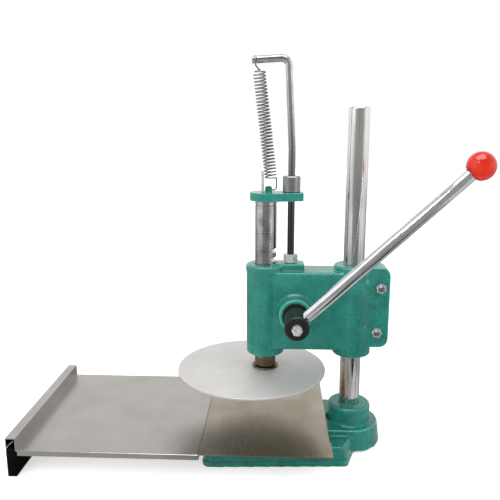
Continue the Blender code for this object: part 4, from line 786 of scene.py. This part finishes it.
def makeRam():
    r = ram
    out = r["radius"]
    profile = [
        (0, r["bottom"] + r["holeDepth"]), (r["hole"], r["bottom"] + r["holeDepth"]), (r["hole"], r["bottom"]),
        (out - r["chamfer"], r["bottom"]), (out, r["bottom"] + r["chamfer"]),
    ]
    for level, width, depth in (r["mark"], r["groove"]):
        profile += [(out, level - width / 2), (out - depth, level - width / 4),
                    (out - depth, level + width / 4), (out, level + width / 2)]
    profile += [(out, r["top"] - r["chamfer"]), (out - r["chamfer"], r["top"]), (r["neck"], r["top"]),
                (r["neck"], r["neckTop"]), (0, r["neckTop"])]
    shape = turned(profile, 112)
    slope = math.tan(math.radians(r["flank"]))
    cutter = bmesh.new()
    for count in range(r["notches"]):
        middle = r["topNotch"] - count * r["pitch"]
        tip = r["radius"] + 0.004
        halfRoot = r["pitch"] / 4 - (r["pitchLine"] - r["root"]) * slope
        halfTip = r["pitch"] / 4 + (tip - r["pitchLine"]) * slope
        corners = [cutter.verts.new((x, -0.03, middle + side)) for x, side in
                   ((r["root"], -halfRoot), (r["root"], halfRoot), (tip, halfTip), (tip, -halfTip))]
        face = cutter.faces.new(corners)
        grown = bmesh.ops.extrude_face_region(cutter, geom=[face])
        verts = [item for item in grown["geom"] if isinstance(item, bmesh.types.BMVert)]
        bmesh.ops.translate(cutter, vec=(0, 0.06, 0), verts=verts)
    bmesh.ops.recalc_face_normals(cutter, faces=cutter.faces)
    shape = combined(shape, cutter, "DIFFERENCE")
    addPiece("ramBar", shape, "ram", sharp=30)


# Press disc

disc = {"at": (-0.0204, -0.005), "radius": 0.110, "bottom": 0.1136, "top": 0.1166, "edge": 0.0006}


def makeDisc():
    d = disc
    shape = turned([(0, d["bottom"]), (d["radius"], d["bottom"]), (d["radius"], d["top"]), (0, d["top"])], 180)
    softenEdges(shape, d["edge"], 3, 60)
    addPiece("discPlate", moveTo(shape, (*d["at"], 0)), "press_disc")


# Guide rod: straight, leaning a little, then bent into the arm that holds the spring

guideRod = {
    "x": 0.036, "radius": 0.005, "bottom": 0.2513, "straightTop": 0.440, "top": 0.5617, "lean": 3, "bend": 0.010,
    "arm": 0.050, "inset": 0.0036, "grooveWidth": 0.0030, "grooveRadius": 0.0036, "chamfer": 0.0007,
}


def pushRing(shape, edges, vec=None, size=None):
    grown = bmesh.ops.extrude_edge_only(shape, edges=edges)["geom"]
    verts = [item for item in grown if isinstance(item, bmesh.types.BMVert)]
    ring = [item for item in grown
            if isinstance(item, bmesh.types.BMEdge) and all(end in verts for end in item.verts)]
    if vec:
        bmesh.ops.translate(shape, vec=vec, verts=verts)
    if size:
        middle = sum((vert.co for vert in verts), Vector()) / len(verts)
        bmesh.ops.scale(shape, vec=(size, size, size), verts=verts, space=Matrix.Translation(-middle))
    return ring


def ringParts(ring):
    return list(dict.fromkeys(vert for edge in ring for vert in edge.verts)) + ring


def makeGuideRod():
    g = guideRod
    lean = math.radians(g["lean"])
    shape = bmesh.new()
    verts = bmesh.ops.create_circle(shape, cap_ends=True, radius=g["radius"] - g["chamfer"], segments=40)["verts"]
    bmesh.ops.translate(shape, vec=(g["x"], 0, g["bottom"]), verts=verts)
    ring = list(shape.edges)
    ring = pushRing(shape, ring, vec=(0, 0, g["chamfer"]), size=g["radius"] / (g["radius"] - g["chamfer"]))
    ring = pushRing(shape, ring, vec=(0, 0, g["straightTop"] - g["bottom"] - g["chamfer"]))
    # The lean starts in a short bend
    start = Vector((g["x"], 0, g["straightTop"]))
    sweep = 0.06
    spun = bmesh.ops.spin(shape, geom=ringParts(ring), cent=start - Vector((sweep, 0, 0)),
                          axis=(0, -1, 0), angle=lean, steps=4)["geom_last"]
    ring = [item for item in spun if isinstance(item, bmesh.types.BMEdge)]
    climb = Vector((-math.sin(lean), 0, math.cos(lean)))
    outward = Vector((math.cos(lean), 0, math.sin(lean)))
    here = start + Vector((-(1 - math.cos(lean)) * sweep, 0, math.sin(lean) * sweep))
    corner = start + climb * ((g["top"] - g["straightTop"]) / climb.z)
    rise = (corner - here).dot(climb) - g["bend"]
    ring = pushRing(shape, ring, vec=climb * rise)
    here += climb * rise
    spun = bmesh.ops.spin(shape, geom=ringParts(ring), cent=here - outward * g["bend"],
                          axis=(0, -1, 0), angle=math.pi / 2, steps=14)["geom_last"]
    ring = [item for item in spun if isinstance(item, bmesh.types.BMEdge)]
    along = -outward
    slim = g["grooveRadius"] / g["radius"]
    ring = pushRing(shape, ring, vec=along * (g["arm"] - g["bend"] - g["inset"] - g["grooveWidth"]))
    ring = pushRing(shape, ring, vec=along * 0.0004, size=slim)
    ring = pushRing(shape, ring, vec=along * (g["grooveWidth"] - 0.0008))
    ring = pushRing(shape, ring, vec=along * 0.0004, size=1 / slim)
    ring = pushRing(shape, ring, vec=along * (g["inset"] - g["chamfer"]))
    ring = pushRing(shape, ring, vec=along * g["chamfer"], size=(g["radius"] - g["chamfer"]) / g["radius"])
    bmesh.ops.contextual_create(shape, geom=ring)
    bmesh.ops.recalc_face_normals(shape, faces=shape.faces)
    addPiece("guideRodBar", shape, "guide_rod")


# Stop collar with its bore

collar = {"x": 0.036, "bottom": 0.3793, "top": 0.4018, "radius": 0.0127, "bore": 0.0053, "chamfer": 0.0008}


def makeCollar():
    c = collar
    low, high, cut = c["bottom"], c["top"], c["chamfer"]
    shape = turned([
        (c["bore"], low + cut / 2), (c["bore"] + cut / 2, low), (c["radius"] - cut, low), (c["radius"], low + cut),
        (c["radius"], high - cut), (c["radius"] - cut, high), (c["bore"] + cut / 2, high), (c["bore"], high - cut / 2),
        (c["bore"], low + cut / 2)], 72)
    hole = turned([(0, 0.004), (0.0028, 0.004), (0.0028, 0.016), (0, 0.016)], 32)
    moveTo(hole, (0, 0, (low + high) / 2), towards((0, 1, 0)))
    shape = combined(shape, hole, "DIFFERENCE")
    addPiece("collarRing", moveTo(shape, (c["x"], 0, 0)), "stop_collar")


# Return spring: one wire from the eye over the arm down to the hook in the lug

spring = {
    "wire": 0.001, "radius": 0.0080, "coils": 33, "steps": 22, "eye": 0.0062, "eyeSweep": 300,
    "topShift": 0.0045, "topDrop": 0.0052, "bottomX": 0.0068, "bottomRise": 0.0195,
    "lug": (-0.0015, 0.010), "lugTop": 0.3790,
    "hookRise": 0.0036, "hookReach": 0.0062, "hookDepth": 0.005, "hookLeg": 0.004,
}


def springPath():
    s, g = spring, guideRod
    lean = math.radians(g["lean"])
    climb = Vector((-math.sin(lean), 0, math.cos(lean)))
    along = Vector((-math.cos(lean), 0, -math.sin(lean)))
    corner = Vector((g["x"], 0, g["straightTop"])) + climb * ((g["top"] - g["straightTop"]) / climb.z)
    seat = corner + along * (g["arm"] - g["inset"] - g["grooveWidth"] / 2)
    eyeCentre = seat + Vector((0, 0, g["grooveRadius"] + 0.0003 + s["wire"] - s["eye"]))
    top = eyeCentre + Vector((s["topShift"], 0, -s["eye"] - s["topDrop"]))
    bottom = Vector((s["bottomX"], 0, s["lugTop"] + s["bottomRise"]))
    across = Vector((0, 1, 0)).cross((bottom - top).normalized())
    points = []
    for step in range(36):
        angle = math.radians(s["eyeSweep"]) * (1 - step / 35)
        points.append(eyeCentre + Vector((0, math.sin(angle), -math.cos(angle))) * s["eye"])
    for step in range(s["coils"] * s["steps"]):
        turns = step / s["steps"]
        radius = s["radius"] * math.sin(min(1, turns) * math.pi / 2)
        angle = math.tau * (turns - s["coils"])
        spoke = Vector((0, 1, 0)) * math.sin(angle) - across * math.cos(angle)
        points.append(top.lerp(bottom, turns / s["coils"]) + spoke * radius)
    level = s["lugTop"] + s["hookRise"]
    right = s["lug"][0] + s["lug"][1]
    leg = right + s["hookReach"]
    hook = [
        points[-1],
        Vector((leg, 0, level + s["hookLeg"] + s["wire"])),
        Vector((leg, 0, level + s["hookLeg"] / 2)),
        Vector((right + s["hookReach"] / 2, 0, level - s["wire"] / 2)),
        Vector((right, 0, level)),
        Vector((right - s["hookDepth"], 0, level)),
    ]
    return points, hook


def smoothed(points, rounds):
    for _ in range(rounds):
        finer = [points[0]]
        for first, second in zip(points, points[1:]):
            finer += [first.lerp(second, 0.25), first.lerp(second, 0.75)]
        points = finer + [points[-1]]
    return points


def makeSpring():
    coils, hook = springPath()
    path = coils[:-1] + smoothed(hook, 3)
    data = bpy.data.curves.new("springWire", "CURVE")
    data.dimensions = "3D"
    data.bevel_depth = spring["wire"]
    data.bevel_resolution = 2
    data.use_fill_caps = True
    line = data.splines.new("POLY")
    line.points.add(len(path) - 1)
    for point, place in zip(line.points, path):
        point.co = (*place, 1)
    wire = bpy.data.objects.new("springWire", data)
    bpy.context.scene.collection.objects.link(wire)
    mesh = bpy.data.meshes.new_from_object(wire.evaluated_get(bpy.context.evaluated_depsgraph_get()))
    bpy.data.objects.remove(wire)
    shape = bmesh.new()
    shape.from_mesh(mesh)
    piece = addPiece("springCoil", shape, "return_spring", sharp=60, body=False)
    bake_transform(piece)


# Hexagon nuts and bolts with turned chamfers

nutShape = {"face": 0.475, "chamferAngle": 28, "past": 0.0003, "sink": 0.0006, "steps": 60}


def hexagon(flats, height, bore=0.0, bottom=True):
    corner = flats / math.sqrt(3)
    face = flats * nutShape["face"]
    outer = corner + nutShape["past"]
    cut = (corner - face) * math.tan(math.radians(nutShape["chamferAngle"]))
    profile = [(bore, 0), (face, 0), (outer, cut)] if bottom else [(bore, 0), (outer, 0)]
    profile += [(outer, height - cut), (face, height), (bore, height)]
    if bore:
        # Countersunk where the thread starts
        sink = nutShape["sink"]
        profile = [(bore, sink), (bore + sink, 0)] + profile[1:-1]
        profile += [(bore + sink, height), (bore, height - sink), (bore, sink)]
    lens = turned(profile, nutShape["steps"])
    prism = bmesh.new()
    bmesh.ops.create_cone(prism, cap_ends=True, segments=6, radius1=corner, radius2=corner, depth=height + 0.002)
    bmesh.ops.translate(prism, vec=(0, 0, height / 2), verts=prism.verts)
    return combined(prism, lens, "INTERSECT")


screw = {"pitch": 0.00125, "depth": 0.5, "root": 0.45, "edge": 0.0004, "steps": 40}


def threaded(radius, start, end, thread):
    pitch, edge = screw["pitch"], screw["edge"]
    profile = [(0, start), (radius - edge, start), (radius, start + edge)]
    level = end - thread
    profile.append((radius, level))
    while level < end - pitch:
        profile += [(radius - pitch * screw["depth"], level + pitch * screw["root"]), (radius, level + pitch)]
        level += pitch
    profile += [(radius - pitch * screw["depth"], end), (0, end)]
    return turned(profile, screw["steps"])


def joined(*shapes):
    whole = shapes[0]
    for shape in shapes[1:]:
        for face in shape.faces:
            face.material_index = 1
        mesh = bpy.data.meshes.new("work")
        shape.to_mesh(mesh)
        shape.free()
        whole.from_mesh(mesh)
        bpy.data.meshes.remove(mesh)
    return whole


clamps = {
    "upper": {"at": (0.1646, 0.245), "turn": 8},
    "lower": {"at": (0.1608, 0.1792), "turn": 21},
    "flats": 0.013, "head": (0.0203, 0.0055), "nut": (-0.0203, 0.0065), "tail": 0.0022,
    "radius": 0.004, "thread": 0.016,
}


def makeClamps():
    front = Matrix.Rotation(math.radians(90), 4, "X")
    for side in ("upper", "lower"):
        x, z = clamps[side]["at"]
        turn = front @ Matrix.Rotation(math.radians(clamps[side]["turn"]), 4, "Z")
        nut = hexagon(clamps["flats"], clamps["nut"][1], bore=clamps["radius"] + 0.0001)
        moveTo(nut, (x, clamps["nut"][0], z), turn)
        addPiece("clampNut" + side.capitalize(), nut, "clamp_nut_" + side, sharp=25)
        head = hexagon(clamps["flats"], clamps["head"][1], bottom=False)
        moveTo(head, (0, 0, 0), Matrix.Rotation(math.pi, 4, "X"))
        length = clamps["head"][0] - clamps["nut"][0] + clamps["nut"][1] + clamps["tail"]
        shank = threaded(clamps["radius"], -0.001, length, clamps["thread"])
        bolt = moveTo(joined(head, shank), (x, clamps["head"][0], z), turn)
        addPiece("clampBolt" + side.capitalize(), bolt, "clamp_bolt_" + side, sharp=25, second="threadSteel")


rodNut = {"at": (0.036, 0, 0.2773), "flats": 0.018, "height": 0.0125, "bore": 0.0053, "turn": 20}


def makeRodNut():
    n = rodNut
    shape = hexagon(n["flats"], n["height"], bore=n["bore"])
    moveTo(shape, n["at"], Matrix.Rotation(math.radians(n["turn"]), 4, "Z"))
    addPiece("guideRodNut", shape, "guide_rod_nut", sharp=25)


# Lever: the black hub's washer and bolt, bright rod, red knob

hubBolt = {"x": 0.0433, "z": 0.209, "face": -0.1001, "flats": 0.013, "head": 0.0055, "turn": 24,
           "dish": 0.0036, "washer": 0.0068, "washerBore": 0.0043, "washerThick": 0.0016,
           "shank": 0.012, "shankRadius": 0.0039}


def makeHubBolt():
    h = hubBolt
    front = Matrix.Rotation(math.radians(90), 4, "X")
    bore, thick = h["washerBore"], h["washerThick"]
    ring = turned([(bore, 0), (h["washer"], 0), (h["washer"], thick), (bore, thick), (bore, 0)], 48)
    softenEdges(ring, 0.0002, 2, 60)
    addPiece("hubWasherRing", moveTo(ring, (h["x"], h["face"], h["z"]), front), "hub_washer")
    head = hexagon(h["flats"], h["head"], bottom=False)
    # The head's face is dished inside a raised rim
    dish = turned([(0, h["head"] - 0.0009), (h["dish"], h["head"] - 0.0004),
                   (h["dish"] + 0.0004, h["head"] + 0.001), (0, h["head"] + 0.001)], 48)
    head = combined(head, dish, "DIFFERENCE")
    shank = threaded(h["shankRadius"], -h["shank"] - thick, 0.001, 0.002)
    turn = front @ Matrix.Rotation(math.radians(h["turn"]), 4, "Z")
    bolt = moveTo(joined(head, shank), (h["x"], h["face"] - thick, h["z"]), turn)
    addPiece("hubBoltHead", bolt, "hub_bolt", sharp=25, second="threadSteel")


lever = {"from": (0.0433, -0.0866, 0.209), "angle": 43.3, "radius": 0.0084, "shoulder": 0.0170, "tang": 0.005,
         "tangStart": 0.0068, "taper": 0.0008, "knobAt": 0.3104, "knob": 0.0184, "neck": 0.0095}


def makeLever():
    v = lever
    turn = towards((math.cos(math.radians(v["angle"])), 0, math.sin(math.radians(v["angle"]))))
    end = v["knobAt"]
    rod = v["radius"]
    top = end - math.sqrt(v["knob"] ** 2 - v["neck"] ** 2) - 0.0004
    shape = turned([
        (0, v["tangStart"]), (v["tang"] - 0.0004, v["tangStart"]),
        (v["tang"], v["tangStart"] + 0.0004), (v["tang"], v["shoulder"] + 0.001),
        (rod - v["taper"], v["shoulder"] + 0.001), (rod, v["shoulder"] + 0.0035),
        (rod, top - 0.0008), (rod - 0.0008, top),
        (v["tang"], top), (v["tang"], end - 0.001), (0, end - 0.001)], 96)
    addPiece("leverBar", moveTo(shape, v["from"], turn), "lever_rod")
    start = math.asin(v["neck"] / v["knob"])
    socket = v["tang"] + 0.0003
    profile = [(0, end - 0.0004), (socket, end - 0.0004), (socket, top + 0.0004),
               (v["neck"] - 0.0006, top + 0.0004), (v["neck"], top + 0.0010)]
    for step in range(1, 29):
        angle = start + 0.06 + (math.pi - start - 0.06) * step / 28
        profile.append((max(0, v["knob"] * math.sin(angle)), end - v["knob"] * math.cos(angle)))
    profile[-1] = (0, end + v["knob"])
    addPiece("knobBall", moveTo(turned(profile, 72), v["from"], turn), "lever_knob", sharp=40)


# Sheets, hub and small fasteners: the CAD shape with its edges rounded

softPieces = {
    "tray": ("traySheet", 0.0003, 2, 30, (0.0394, 0.1255, 0.0011)),
    "lower_plate": ("plateSheet", 0.0005, 2, 30),
    "tray_foot": ("footBar", 0.0008, 3, 30),
    "lever_hub": ("hubDrum", 0.0003, 2, 35),
    "disc_hub": ("discHubFlange", 0.0002, 2, 35),
    "disc_pin": ("discPinBar", 0.0004, 2, 35),
    "crosshead_stud": ("crossheadStudBar", 0.0003, 2, 35),
    "column_set_screw": ("columnScrew", 0.0002, 2, 35),
    "stop_collar_screw": ("collarScrew", 0.0002, 2, 35),
    "cover_screw_1": ("coverScrewA", 0.0003, 2, 35),
    "cover_screw_2": ("coverScrewB", 0.0003, 2, 35),
    "cover_screw_3": ("coverScrewC", 0.0003, 2, 35),
    "cover_screw_4": ("coverScrewD", 0.0003, 2, 35),
}


def makeSoftPieces():
    for node, (name, *values) in softPieces.items():
        piece = addPiece(name, softCopy(node, *values), node, sharp=40)
        weighted = piece.modifiers.new("evenShading", "WEIGHTED_NORMAL")
        weighted.keep_sharp = True
    print("soft edged pieces made")


addCamera()
lightStudio()
makeFinishes()
paintNodes()
makeCastings()
print("castings made")
makeColumn()
makeRam()
makeDisc()
makeGuideRod()
makeCollar()
makeSpring()
print("turned pieces and spring made")
makeClamps()
makeRodNut()
makeHubBolt()
makeLever()
print("lever and fasteners made")
makeSoftPieces()

bpy.context.scene.view_settings.view_transform = "Standard"
